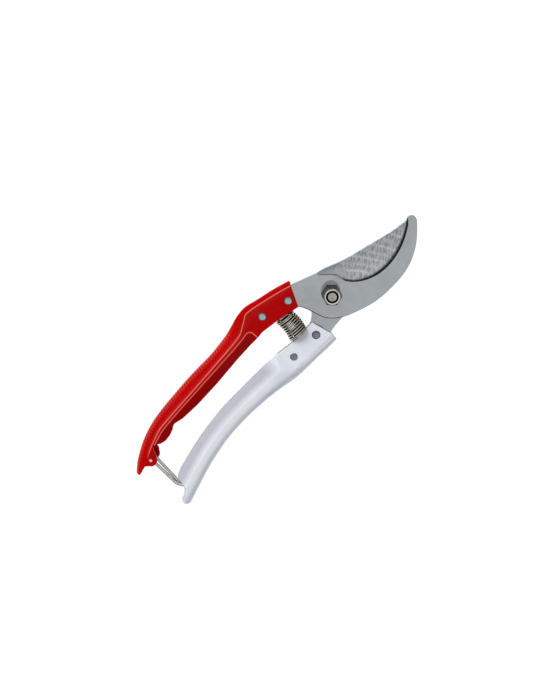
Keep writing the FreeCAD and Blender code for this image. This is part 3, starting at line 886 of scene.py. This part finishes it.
def red_tone(place):
    """Shares of painted highlight and painted shade on the red handle: highlights along the creases and on
    the groove crests, shade over the sloped inner side.
    """
    pitch = settings().handles.groove_pitch
    middle, back, crease, ridge, height, fall = RED_AT(place.x)
    inside = past_ridge(place.x, ridge - place.y)
    level = abs(place.z - middle) / height
    # Painted highlights along the outer and the inner crease
    outer_crease_highlight = math.exp(-((place.y - crease) / 0.24) ** 2) if level > 0.85 else 0.0
    inner_crease_highlight = math.exp(-(inside / 0.22) ** 2) if fall > 0.2 else 0.0
    fade = min(1.0, max(0.0, (place.x + 143.0) / 5.0))
    # Painted shade over the sloped inner side
    shade = min(1.0, max(0.0, inside / 1.2)) if fall > 0.02 else 0.0
    # A painted glint on each groove crest along the back
    groove_painted_glint = 0.3 * max(0.0, math.cos(math.tau * place.x / pitch + 2.4)) ** 4
    if level > 0.62 or place.x > -54.0 or place.y <= crease or place.x < GROOVES_TO:
        groove_painted_glint = 0.0
    return max(fade * max(outer_crease_highlight, inner_crease_highlight), groove_painted_glint), shade


def groove(place):
    """How far a point of the red handle's skin moves along Y for the grooves across its back."""
    opts = settings().handles
    middle, back, crease, ridge, height, fall = RED_AT(place.x)
    if place.y <= crease:
        return 0.0
    wave = max(0.0, math.cos(math.tau * place.x / opts.groove_pitch)) ** 1.3
    fade = min(1.0, max(0.0, (GROOVES_FROM - place.x) / 4.0),
               max(0.0, (place.x - GROOVES_TO) / 4.0))
    reach = min(1.0, max(0.0, (0.74 - abs(place.z - middle) / height) / 0.14))
    return -opts.groove_depth * wave * fade * reach


class SHEARS_OT_red_handle(bpy.types.Operator):
    """Press the red handle: creased, grooved along its back, with two ears for the catch"""
    bl_idname = "shears.red_handle"
    bl_label = "Red Handle"

    def execute(self, context):
        # Painted highlight colour for the creases and groove crests, painted shade colour for the inner side
        material = enamel("Red enamel", tuple(settings().colours.red), 0.05,
                          (1.0, 0.24, 0.18), (0.36, 0.0, 0.0), 0.05)
        piece = pressed_sheet("red_handle_shell", red_rows(), [material], red_tone, groove)
        bore(piece, EAR, settings().handles.ear_hole, GRIP_MID - 12, GRIP_MID + 12)
        fix(piece, "red_side", "red_enamel", "red_handle")
        return {"FINISHED"}


# ---------------------------------------------------------------- the white handle

# x, middle plane, back, ridge, half height, shoulder, shoulder's rounding
WHITE_SECTIONS = [
    (-8.0, BLADE_MID, 20.5, 9.5, 2.85, 15.9, 0.8),
    (-20.0, BLADE_MID, 20.4, 9.2, 2.85, 15.6, 0.8),
    (-33.0, BLADE_MID, 19.8, 9.2, 2.85, 15.4, 0.8),
    (-44.0, BLADE_MID, 19.5, 9.2, 2.95, 14.2, 1.0),
    (-50.0, BLADE_MID + 0.5, 18.7, 9.2, 4.1, 13.4, 1.8),
    (-60.0, GRIP_MID, 16.4, 7.8, 6.6, 11.6, 2.6),
    (-72.0, GRIP_MID, 14.7, 6.9, 7.6, 10.7, 3.0),
    (-88.0, GRIP_MID, 13.8, 6.5, 7.8, 10.2, 3.0),
    (-100.0, GRIP_MID, 14.2, 7.0, 7.8, 10.7, 3.0),
    (-112.0, GRIP_MID, 15.8, 8.6, 7.8, 12.3, 3.0),
    (-124.0, GRIP_MID, 18.3, 11.0, 7.7, 14.7, 3.0),
    (-136.0, GRIP_MID, 21.6, 14.1, 7.6, 17.9, 3.0),
    (-146.0, GRIP_MID, 24.5, 16.9, 7.4, 20.8, 3.0),
    (-154.0, GRIP_MID, 26.9, 19.2, 7.2, 23.1, 3.0)]
# x, inner and outer edge of the flat face, and how the sides fall away from it
WHITE_FACE = [
    (-16.0, -8.0, 18.0, 0.0, 0.0, 0.0),
    (-40.0, -6.0, 16.5, 0.0, 0.0, 0.0),
    (-44.0, -1.0, 14.4, 0.1, 0.0, 0.18),
    (-48.3, 3.4, 12.3, 0.16, 0.0, 0.22),
    (-52.0, 8.6, 9.6, 0.2, 0.04, 0.22),
    (-60.0, 7.8, 7.9, 0.2, 0.12, 0.2),
    (-72.0, 6.9, 7.0, 0.2, 0.2, 0.2),
    (-88.0, 6.5, 6.6, 0.2, 0.22, 0.2),
    (-100.0, 7.0, 7.1, 0.2, 0.22, 0.2),
    (-112.0, 8.6, 8.7, 0.2, 0.22, 0.2),
    (-124.0, 11.0, 11.1, 0.2, 0.2, 0.2),
    (-136.0, 14.1, 14.2, 0.18, 0.16, 0.18),
    (-154.0, 19.2, 19.3, 0.18, 0.16, 0.18)]
WHITE_EDGE = [(-18.9, 3.3), (-35.9, 2.9), (-42.2, 1.9), (-48.0, 1.0), (-60.0, 0.1),
              (-78.0, -0.3), (-90.0, -0.5), (-104.0, 0.5), (-116.0, 2.2), (-128.0, 4.7),
              (-139.0, 7.3), (-140.0, 8.2), (-140.7, 12.0), (-141.5, 15.2), (-144.8, 17.2),
              (-148.6, 19.0), (-149.3, 20.8)]
WHITE_MOUTH = -18.9
NEAR_REACH, FAR_SHORT = 1.0, 0.7
WHITE_AT = smooth_through(WHITE_SECTIONS)
WHITE_FACE_AT = smooth_through(WHITE_FACE)
WHITE_FLANK = [0.0, 0.07, 0.16, 0.26, 0.36, 0.46, 0.56, 0.66, 0.75, 0.83, 0.9, 0.95, 1.0]


def white_half(x, edge):
    """Upper half of the white section at x: (depth from the X axis, height), edge to back."""
    opts = settings().handles
    middle, back, ridge, height, shoulder, soft = WHITE_AT(x)
    inner, outer, fall_in, fall_more, fall_out = WHITE_FACE_AT(x)
    width = back - shoulder
    drop = fall_out * max(0.0, shoulder - outer)
    top = height - drop
    outline = rounded([(ridge, height), (shoulder, top),
                       (shoulder + 0.62 * width, 0.3 * height + 0.62 * (top - 0.3 * height)),
                       (back, 0.3 * height), (back, 0.0)], [soft, 0.45 * width, 2.2], 5)
    start = min(edge, ridge)
    flank = [Vector((start + (ridge - start) * t, height)) for t in WHITE_FLANK]
    across = [outline[0].lerp(outline[1], t) for t in (0.2, 0.4, 0.6, 0.8)]
    for point in across + outline[:1]:
        point.y = height
    points = clipped(flank + across + outline[1:], edge)
    for k, point in enumerate(points):
        if k < len(flank) + len(across):
            point.y = height - fall_out * soft_ramp(point.x - outer, opts.crease_round)
        point.y -= fall_in * soft_ramp(inner - point.x, opts.crease_round)
        point.y -= fall_more * soft_ramp(inner - 4.0 - point.x, 2.5)
        point.y = max(point.y, 0.0)
    return middle, points


def white_rows():
    """Rows of the white handle; its far cheek is a little shorter than the near one."""
    edges = smooth_through(WHITE_EDGE)
    rows = []
    for x in spread_rows([(WHITE_MOUTH, -42.0, 1.0), (-42.0, -60.0, 0.45),
                          (-60.0, -140.0, 0.8), (-140.0, -149.3, 0.3)]):
        head = max(0.0, 1 - (WHITE_MOUTH - x) / 16.0)
        tail = max(0.0, min(1.0, (-140.0 - x) / 9.3))
        grip = max(0.0, min(1.0, (-44.0 - x) / 12.0, (x + 140.0) / 6.0))

        def skew(depth):
            shift = head * (2.6 * min(1.0, (depth - 3.3) / 12.5) - 0.14 * max(0.0, depth - 15.8))
            return shift + tail * 2.5 * max(0.0, (depth - 21.6) / 3.6) ** 2

        def half_at(edge):
            middle, half = white_half(x, edge)
            for k, point in enumerate(half):
                for _ in range(3):
                    half[k] = white_half(x + skew(half[k].x), edge)[1][k]
            return middle, half
        middle, half = half_at(edges(x)[0] - NEAR_REACH * grip)
        far = half_at(edges(x)[0] + FAR_SHORT * grip)[1]
        top = [Vector((x + skew(p.x), -p.x, middle + p.y)) for p in half]
        low = [Vector((x + skew(p.x), -p.x, middle - p.y)) for p in far]
        rows.append(top + low[:-1][::-1])
    return rows


def white_tone(place):
    """Shares of painted highlight and painted shade on the white handle: highlights along the creases and
    the ridge, shade over both sides.
    """
    middle, back, ridge, height, shoulder, soft = WHITE_AT(place.x)
    inner, outer, fall_in, fall_more, fall_out = WHITE_FACE_AT(place.x)
    depth = -place.y
    grip = min(1.0, max(0.0, (-50.0 - place.x) / 8.0))
    head = 1 - min(1.0, max(0.0, (-46.0 - place.x) / 8.0))
    if abs(place.z - middle) < 0.55 * height:
        return 0.0, 0.0
    # Painted highlights along both edges of the flat face
    line = math.exp(-((depth - outer) / 0.4) ** 2) if place.x < -14 else 0.0
    line = max(line, math.exp(-((depth - inner) / 0.4) ** 2)) if place.x < -43 else line
    # A broad painted highlight along the ridge of the grip
    ridge_painted_highlight = math.exp(-((depth - ridge - 1.2) / 1.1) ** 2) * grip
    # Painted shade over the inner side, and a lighter painted shade beyond the shoulder
    shade = min(1.0, max(0.0, (inner - 0.6 - depth) / 3.6)) * grip
    side = min(1.0, max(0.0, (depth - shoulder) / 2.0)) * 0.7
    return max(0.8 * line * head, 0.45 * ridge_painted_highlight), max(shade, side)


class SHEARS_OT_white_handle(bpy.types.Operator):
    """Press the white handle: a flat head that narrows to a point, and a soft-ridged grip"""
    bl_idname = "shears.white_handle"
    bl_label = "White Handle"

    def execute(self, context):
        # Painted highlight colour for the creases and ridge, painted shade colour for both sides
        material = enamel("White enamel", tuple(settings().colours.white), 0.025,
                          (1.0, 1.0, 1.0), (0.58, 0.575, 0.645), 0.2)
        piece = pressed_sheet("white_handle_shell", white_rows(), [material], white_tone)
        fix(piece, "white_side", "white_enamel", "white_handle")
        return {"FINISHED"}


# ---------------------------------------------------------------- blades

def outlines(bm, level):
    """The closed outlines of a plate's flat face at one level, material to their left."""
    edges = {}  # in a fixed order, so that each run gives the same mesh
    for edge in bm.edges:
        flat = [f for f in edge.link_faces
                if abs(f.normal.z) > 0.99 and abs(f.calc_center_median().z - level) < 0.02]
        if len(flat) == 1:
            edges[edge] = True
    loops = []
    while edges:
        edge = next(iter(edges))
        del edges[edge]
        start, vert = edge.verts
        loop = [start.co.xy.copy()]
        while vert is not start:
            loop.append(vert.co.xy.copy())
            following = next(e for e in vert.link_edges if e in edges)
            del edges[following]
            vert = following.other_vert(vert)
        loops.append(loop)
    loops.sort(key=lambda loop: max(p.x for p in loop) - min(p.x for p in loop), reverse=True)
    for i, loop in enumerate(loops):
        area = sum(a.cross(b) for a, b in zip(loop, loop[1:] + loop[:1]))
        if (area > 0) != (i == 0):
            loop.reverse()
    return loops


def chamfered_plate(loops, low, high, width_at, small):
    """A plate from its outlines, whose upper edge is chamfered by a width that may vary."""
    bm = bmesh.new()
    caps = {low: [], high: []}
    for loop in loops:
        rings = [[], [], [], []]
        widths = []
        for before, point, after in zip(loop[-1:] + loop[:-1], loop, loop[1:] + loop[:1]):
            ahead = (point - before).normalized() + (after - point).normalized()
            inward = Vector((-ahead.y, ahead.x)).normalized()
            width = width_at(point)
            widths.append(width)
            for ring, place, z in zip(rings, (point + inward * small, point, point,
                                              point + inward * width),
                                      (low, low + small, high - 0.7 * width, high)):
                ring.append(bm.verts.new((place.x, place.y, z)))
        count = len(loop)
        for k in range(count):
            after = (k + 1) % count
            for first, second in zip(rings, rings[1:]):
                face = bm.faces.new((first[k], first[after], second[after], second[k]))
                # Wide chamfers and their walls take the dark material; at the hook's throat it is a painted
                # shadow over the tang
                if second is not rings[1] and max(widths[k], widths[after]) > 2.2 * small:
                    face.material_index = 1
        for ring, level in ((rings[0], low), (rings[3], high)):
            caps[level] += [bm.edges.get(pair) for pair in zip(ring, ring[1:] + ring[:1])]
    for edges in caps.values():
        bmesh.ops.triangle_fill(bm, use_beauty=True, edges=edges)
    bmesh.ops.recalc_face_normals(bm, faces=bm.faces)
    return bm


HOOK_INNER = smooth_through([(9.9, 3.3), (11.6, -0.6), (15.7, -5.1), (23.4, -9.3), (32.3, -10.8),
                             (42.8, -9.4), (51.7, -5.7), (58.3, -1.3)])


def hook_chamfer(point):
    """Width of the hook's upper chamfer: broad along the inner edge, some at the throat to carry a painted
    shadow.
    """
    opts = settings().blades
    if 11.0 < point.x < 59.2 and abs(point.y - HOOK_INNER(min(point.x, 58.3))[0]) < 1.2:
        growth = min(1.0, 0.45 + 0.55 * (point.x - 11.0) / 16.0)
        return opts.hook_chamfer * min(growth, max(0.3, (59.5 - point.x) / 3.0))
    # The throat chamfer carries a painted shadow over the cutting blade's tang
    if -19.0 < point.x < -4.5 and -14.5 < point.y < 9.5:
        return 0.5 * opts.hook_chamfer
    return opts.edge_break


class SHEARS_OT_hook(bpy.types.Operator):
    """Finish the hooked counter blade: a dark chamfer along its inner edge, a dark throat chamfer as painted
    shadow over the tang, and broken edges
    """
    bl_idname = "shears.hook"
    bl_label = "Hook Blade"

    def execute(self, context):
        source = cad_shape("hook_blade")
        loops = outlines(source, HOOK_HIGH.z)
        source.free()
        bm = chamfered_plate(loops, HOOK_LOW.z, HOOK_HIGH.z, hook_chamfer,
                             settings().blades.edge_break)
        dark = steel("Dark edges and painted shade", tuple(settings().colours.dark_edge_and_painted_shade), 0.35, 0.000003)
        piece = mesh_object("hook_blade_plate", bm, [hook_material(), dark], 28.0)
        fix(piece, "red_side", "blade_steel", "hook_blade")
        return {"FINISHED"}


class SHEARS_OT_cutting_blade(bpy.types.Operator):
    """Finish the cutting blade: broken edges, tang walls dark as painted shade, and a face ground in curved
    arcs with a painted sheen
    """
    bl_idname = "shears.cutting_blade"
    bl_label = "Cutting Blade"

    def execute(self, context):
        opts = settings().blades
        bm = cad_shape("cutting_blade")
        sharp = [e for e in sharp_edges(bm, 30) if e.calc_length() > 0.02]
        bevel(bm, sharp, opts.edge_break)
        # The tang's side walls are dark, as painted shade in the gap under the handle's cheeks
        for face in bm.faces:
            if abs(face.normal.z) < 0.5 and face.calc_center_median().x < -12.0:
                face.material_index = 1
        dark = steel("Tang wall painted shade", tuple(settings().colours.dark_edge_and_painted_shade), 0.35, 0.000003)
        piece = mesh_object("cutting_blade_plate", bm, [blade_material(), dark], 28.0)
        fix(piece, "white_side", "blade_steel", "cutting_blade")
        return {"FINISHED"}


# ---------------------------------------------------------------- pivot and rivets

class SHEARS_OT_pivot(bpy.types.Operator):
    """Turn the pivot bolt with its broad head, and fit its lock nut and black ring"""
    bl_idname = "shears.pivot"
    bl_label = "Pivot Bolt and Nut"

    def execute(self, context):
        plated = turned_steel("Plated steel", (0.5, 0.49, 0.43), 0.24, 0.0006, 0.00001)
        # The nut is one plated steel in two copies: painted shade on its sides and painted light on its
        # collar
        body = turned_steel("Nut in painted shade", (0.16, 0.16, 0.14), 0.3, 0.0005, 0.000006)
        bright = turned_steel("Nut collar in painted light", (0.8, 0.79, 0.75), 0.16, 0.0003, 0.000003)
        nut = cad_shape("pivot_nut")
        for face in nut.faces:
            spot = face.calc_center_median()
            away = Vector((face.normal.x, face.normal.y)).dot(Vector((spot.x, spot.y)))
            # Inward faces of the collar stay in the painted shade copy
            lip = face.normal.z < 0.5 and away < 0
            face.material_index = 1 if spot.z > NUT_LOW.z + 4.25 and not lip else 0
        bevel(nut, sharp_edges(nut, 25), 0.14)
        bmesh.ops.dissolve_degenerate(nut, edges=nut.edges, dist=1e-3)
        piece = mesh_object("pivot_lock_nut", nut, [body, bright], 30.0)
        fix(piece, "red_side", "plated_steel", "pivot_nut")

        end = BOLT_HIGH.z
        shank = [(0.0, end - 0.22), (0.35, end - 0.2), (0.75, end - 0.03), (1.2, end),
                 (2.0, end - 0.01), (2.35, end - 0.05), (2.6, end - 0.3)]
        turn = end - 0.55
        while turn > INSERT_LOW.z - 0.2:
            shank += [(2.72, turn), (2.98, turn - 0.25), (2.98, turn - 0.35), (2.72, turn - 0.6)]
            turn -= 0.75
        shank += [(2.98, NUT_LOW.z + 0.1), (2.98, HOOK_LOW.z + 0.05), (3.9, HOOK_LOW.z),
                  (3.9, BOLT_LOW.z + 2.6), (7.8, BOLT_LOW.z + 2.6), (7.94, BOLT_LOW.z + 2.5),
                  (8.0, BOLT_LOW.z + 2.3), (8.0, BOLT_LOW.z + 1.15), (7.93, BOLT_LOW.z + 0.95),
                  (7.1, BOLT_LOW.z + 0.08), (6.9, BOLT_LOW.z), (2.2, BOLT_LOW.z),
                  (2.0, BOLT_LOW.z + 0.12), (1.9, BOLT_LOW.z + 0.45), (0.0, BOLT_LOW.z + 0.6)]
        bolt = lathe("pivot_bolt_turned", shank, (0.0, 0.0, 0.0), [plated], 64)
        fix(bolt, "red_side", "plated_steel", "pivot_bolt")

        low, high = INSERT_LOW.z, INSERT_HIGH.z
        ring = [(2.99, low), (2.99, high - 0.12), (3.04, high - 0.03), (3.14, high),
                (3.42, high), (3.52, high - 0.04), (3.58, high - 0.14), (3.58, low), (2.99, low)]
        insert = lathe("nut_ring", ring, (0.0, 0.0, 0.0), [nylon_material()], 48)
        fix(insert, "red_side", "nylon", "nut_insert")
        return {"FINISHED"}


RIVETS = [("red_front_rivet", "red_side"), ("red_rear_rivet", "red_side"),
          ("white_front_rivet", "white_side"), ("white_rear_rivet", "white_side")]


class SHEARS_OT_rivets(bpy.types.Operator):
    """Set the four handle rivets, each with a low peened head on a thin dark ring that is a painted shadow
    at its rim
    """
    bl_idname = "shears.rivets"
    bl_label = "Rivets"

    def execute(self, context):
        bright = turned_steel("Bright rivet", (0.5, 0.56, 0.58), 0.22, 0.0005, 0.000006)
        dull = turned_steel("Dull rivet", (0.31, 0.32, 0.35), 0.42, 0.0005, 0.000006)
        rim_shadow = steel("Rivet rim painted shadow", (0.05, 0.04, 0.045), 0.5, 0.000004)
        for node, body in RIVETS:
            low, high = box_mm(node)
            centre = (low + high) / 2
            half = (high.z - low.z) / 2
            face = half - 0.6
            profile = [(0.0, half - 0.02), (0.7, half - 0.03), (1.5, half - 0.09),
                       (1.88, half - 0.2), (2.1, face + 0.18), (2.17, face + 0.06),
                       (2.2, face + 0.02), (2.45, face + 0.03), (2.5, face - 0.1),
                       (1.86, face - 0.2)]
            profile += [(r, -h) for r, h in reversed(profile)]
            face_material = bright if body == "red_side" else dull
            piece = lathe(node + "_peened", profile, centre, [face_material, rim_shadow], 40)
            # The thin ring under each head's rim is a painted shadow
            for polygon in piece.data.polygons:
                spot = (polygon.center / MM) - centre
                if Vector((spot.x, spot.y)).length > 2.18 and abs(spot.z) > face - 0.15:
                    polygon.material_index = 1
            fix(piece, body, "rivet_steel", node)
        return {"FINISHED"}


# ---------------------------------------------------------------- spring and catch

SPRING_RED_END = Vector((-27.2, 10.9, GRIP_MID))
SPRING_WHITE_END = Vector((-29.6, -3.0, GRIP_MID))
SEAT_GAP = 0.3


class SHEARS_OT_spring(bpy.types.Operator):
    """Wind the spring between the handles; its coils spread about the pivot as the shears open"""
    bl_idname = "shears.spring"
    bl_label = "Spring"

    def execute(self, context):
        opts = settings().spring
        axis = SPRING_WHITE_END - SPRING_RED_END
        unit = axis.normalized()
        side = Vector((0.0, 0.0, 1.0)).cross(unit)
        lift = unit.cross(side)
        start = SPRING_RED_END + unit * (opts.wire / 2 + SEAT_GAP)
        height = axis.length - opts.wire - 2 * SEAT_GAP
        closed = 0.75  # turns lying flat at each end
        steps = 32  # points in a turn
        total = round(opts.turns * steps)
        points = []
        shares = []
        for i in range(total + 1):
            turn = i / steps
            share = min(1.0, max(0.0, (turn - closed) / (opts.turns - 2 * closed)))
            rise = share * (height - 0.5) + 0.25 * min(1.0, turn / closed)
            rise += 0.25 * max(0.0, 1 - (opts.turns - turn) / closed)
            angle = math.tau * turn
            bow = side * (opts.bow * math.sin(math.pi * share))
            points.append(start + unit * rise + bow
                          + (side * math.cos(angle) + lift * math.sin(angle)) * opts.radius)
            shares.append(share)
        # Cream painted highlight on the coil's outer side; the near black elsewhere is the dark steel
        # deepened as painted shade
        material = wire_steel("Dark spring steel with painted highlight", (1.0, 0.9, 0.74), (0.012, 0.011, 0.009))
        piece = wire("spring_coil", points, opts.wire / 2, material)
        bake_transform(piece, "red_side", "white_side", start=start * MM,
                 end=(start + unit * height) * MM)
        tree = KDTree(len(points))
        for i, point in enumerate(points):
            tree.insert(point * MM, i)
        tree.balance()
        weights = piece.data.attributes["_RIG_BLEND"].data
        # outer marks the wire's side facing out of the coil, where the painted highlight goes
        outer = piece.data.attributes.new("outer", "FLOAT", "POINT").data
        for vert, weight, mark in zip(piece.data.vertices, weights, outer):
            centre, i, gap = tree.find(vert.co)
            weight.value = shares[i]
            angle = math.tau * i / steps
            away = side * math.cos(angle) + lift * math.sin(angle)
            mark.value = (vert.co - centre).normalized().dot(away)
        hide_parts("spring")
        return {"FINISHED"}


class SHEARS_OT_catch(bpy.types.Operator):
    """Bend the wire catch: two feet in the ears and a closed end that hooks the white handle"""
    bl_idname = "shears.catch"
    bl_label = "Wire Catch"

    def execute(self, context):
        half = (BAIL_HIGH.z - BAIL_LOW.z) / 2
        leg = half - 2.6
        bend = Vector((EAR.x - 2.2, EAR.y - 21.0, 0.0))
        end = bend + Vector((1.4, -4.2, 0.0))
        upper = [(EAR.x, EAR.y, half), (EAR.x, EAR.y, leg), (bend.x, bend.y, 2.4),
                 (end.x, end.y, 1.9)]
        loop = [Vector((x, y, GRIP_MID + z)) for x, y, z in upper]
        loop += [Vector((x, y, GRIP_MID - z)) for x, y, z in reversed(upper)]
        # The plated colour fades to a near black painted shade towards the wire's outline as seen
        material = wire_steel("Plated wire", tuple(settings().colours.wire),
                              (0.03, 0.034, 0.026), 0.34)
        piece = wire("catch_wire", arc_points(loop, 1.6, 10), 0.9, material)
        fix(piece, "catch", "plated_wire", "catch_bail")
        return {"FINISHED"}


# ---------------------------------------------------------------- stage

CAMERA_PLACE = Vector((46.341, 85.241, 469.283)) * MM
CAMERA_TURN = (math.radians(-15.0), 0.0, math.radians(-47.5))
CAMERA_LENS = 43.35


def softbox(name, place, aim, width, height, power, mirrored=True):
    data = bpy.data.lights.new(name, "AREA")
    data.shape = "RECTANGLE"
    data.size = width
    data.size_y = height
    data.energy = power
    lamp = bpy.data.objects.new(name, data)
    lamp.location = place
    lamp.visible_glossy = mirrored
    lamp.rotation_euler = (Vector(aim) - Vector(place)).to_track_quat("-Z", "Y").to_euler()
    bpy.context.scene.collection.objects.link(lamp)
    return lamp


class SHEARS_OT_stage(bpy.types.Operator):
    """Set the pale floor, the soft lights and the camera"""
    bl_idname = "shears.stage"
    bl_label = "Stage"

    def execute(self, context):
        scene = context.scene
        low = CAD_BOX[0]
        bm = bmesh.new()
        bmesh.ops.create_grid(bm, x_segments=1, y_segments=1, size=4000.0)
        bmesh.ops.translate(bm, vec=(0.0, 0.0, low.z / MM - 0.2), verts=bm.verts)
        material, tree, shader, place = blank("Pale floor")
        colour = tuple(settings().colours.floor)
        cloud = use(tree, "Mottle", {"Vector": place, "Colour": (*colour, 1.0), "Size": 0.3,
                                     "Amount": 0.004})
        tree.links.new(cloud.outputs["Colour"], shader.inputs["Base Color"])
        shader.inputs["Roughness"].default_value = 0.9
        shader.inputs["Specular IOR Level"].default_value = 0.0
        shader.inputs["Emission Color"].default_value = (1.0, 1.0, 1.0, 1.0)
        shader.inputs["Emission Strength"].default_value = 1.0
        clear = tree.nodes.new("ShaderNodeBsdfTransparent")
        sided = add(tree, "ShaderNodeMixShader",
                    {0: tree.nodes.new("ShaderNodeNewGeometry").outputs["Backfacing"],
                     1: shader.outputs["BSDF"], 2: clear.outputs["BSDF"]})
        tree.links.new(sided.outputs["Shader"],
                       tree.nodes["Material Output"].inputs["Surface"])
        mesh_object("floor", bm, [material])

        world = bpy.data.worlds.new("Studio")
        world.use_nodes = True
        tree = world.node_tree
        soft = tree.nodes["Background"]
        soft.inputs["Color"].default_value = (0.95, 0.97, 1.0, 1.0)
        soft.inputs["Strength"].default_value = 0.36
        plain = add(tree, "ShaderNodeBackground", {"Color": (1.0, 1.0, 1.0, 1.0)})
        seen = add(tree, "ShaderNodeMixShader",
                   {0: tree.nodes.new("ShaderNodeLightPath").outputs["Is Camera Ray"],
                    1: soft.outputs["Background"], 2: plain.outputs["Background"]})
        tree.links.new(seen.outputs["Shader"], tree.nodes["World Output"].inputs["Surface"])
        scene.world = world
        centre = (-0.03, 0.0, 0.0)
        softbox("Back softbox", (-0.1, 0.8, 0.62), centre, 0.9, 0.5, 7.0, mirrored=False)
        softbox("Front softbox", (0.05, -0.7, 0.7), centre, 0.8, 0.5, 0.8)
        softbox("Top softbox", (-0.28, -0.22, 1.25), centre, 1.1, 1.1, 1.3)

        data = bpy.data.cameras.new("Camera")
        data.lens = CAMERA_LENS
        data.clip_start = 0.01
        data.clip_end = 20.0
        camera = bpy.data.objects.new("Camera", data)
        camera.location = CAMERA_PLACE
        camera.rotation_euler = CAMERA_TURN
        scene.collection.objects.link(camera)
        scene.camera = camera
        scene.view_settings.view_transform = "Standard"
        return {"FINISHED"}


# ---------------------------------------------------------------- panel and run

STEPS = ["red_handle", "white_handle", "hook", "cutting_blade", "pivot", "rivets", "spring",
         "catch", "stage"]


class SHEARS_PT_panel(bpy.types.Panel):
    """Sizes, colours and steps of the shears"""
    bl_idname = "SHEARS_PT_panel"
    bl_label = "Pruning Shears"
    bl_space_type = "VIEW_3D"
    bl_region_type = "UI"
    bl_category = "Shears"

    def draw(self, context):
        for part in ("handles", "blades", "spring", "colours"):
            box = self.layout.box()
            values = getattr(context.scene.shears, part)
            for name in values.__annotations__:
                box.prop(values, name)
        for step in STEPS:
            self.layout.operator("shears." + step)


CLASSES = [HandleSettings, BladeSettings, SpringSettings, ColourSettings, ShearsSettings,
           SHEARS_OT_red_handle, SHEARS_OT_white_handle, SHEARS_OT_hook,
           SHEARS_OT_cutting_blade, SHEARS_OT_pivot, SHEARS_OT_rivets, SHEARS_OT_spring,
           SHEARS_OT_catch, SHEARS_OT_stage, SHEARS_PT_panel]


def register():
    for cls in CLASSES:
        bpy.utils.register_class(cls)
    bpy.types.Scene.shears = bpy.props.PointerProperty(type=ShearsSettings)


def unregister():
    del bpy.types.Scene.shears
    for cls in reversed(CLASSES):
        bpy.utils.unregister_class(cls)


def main():
    register()
    for step in STEPS:
        getattr(bpy.ops.shears, step)()


if __name__ == "__main__":
    main()
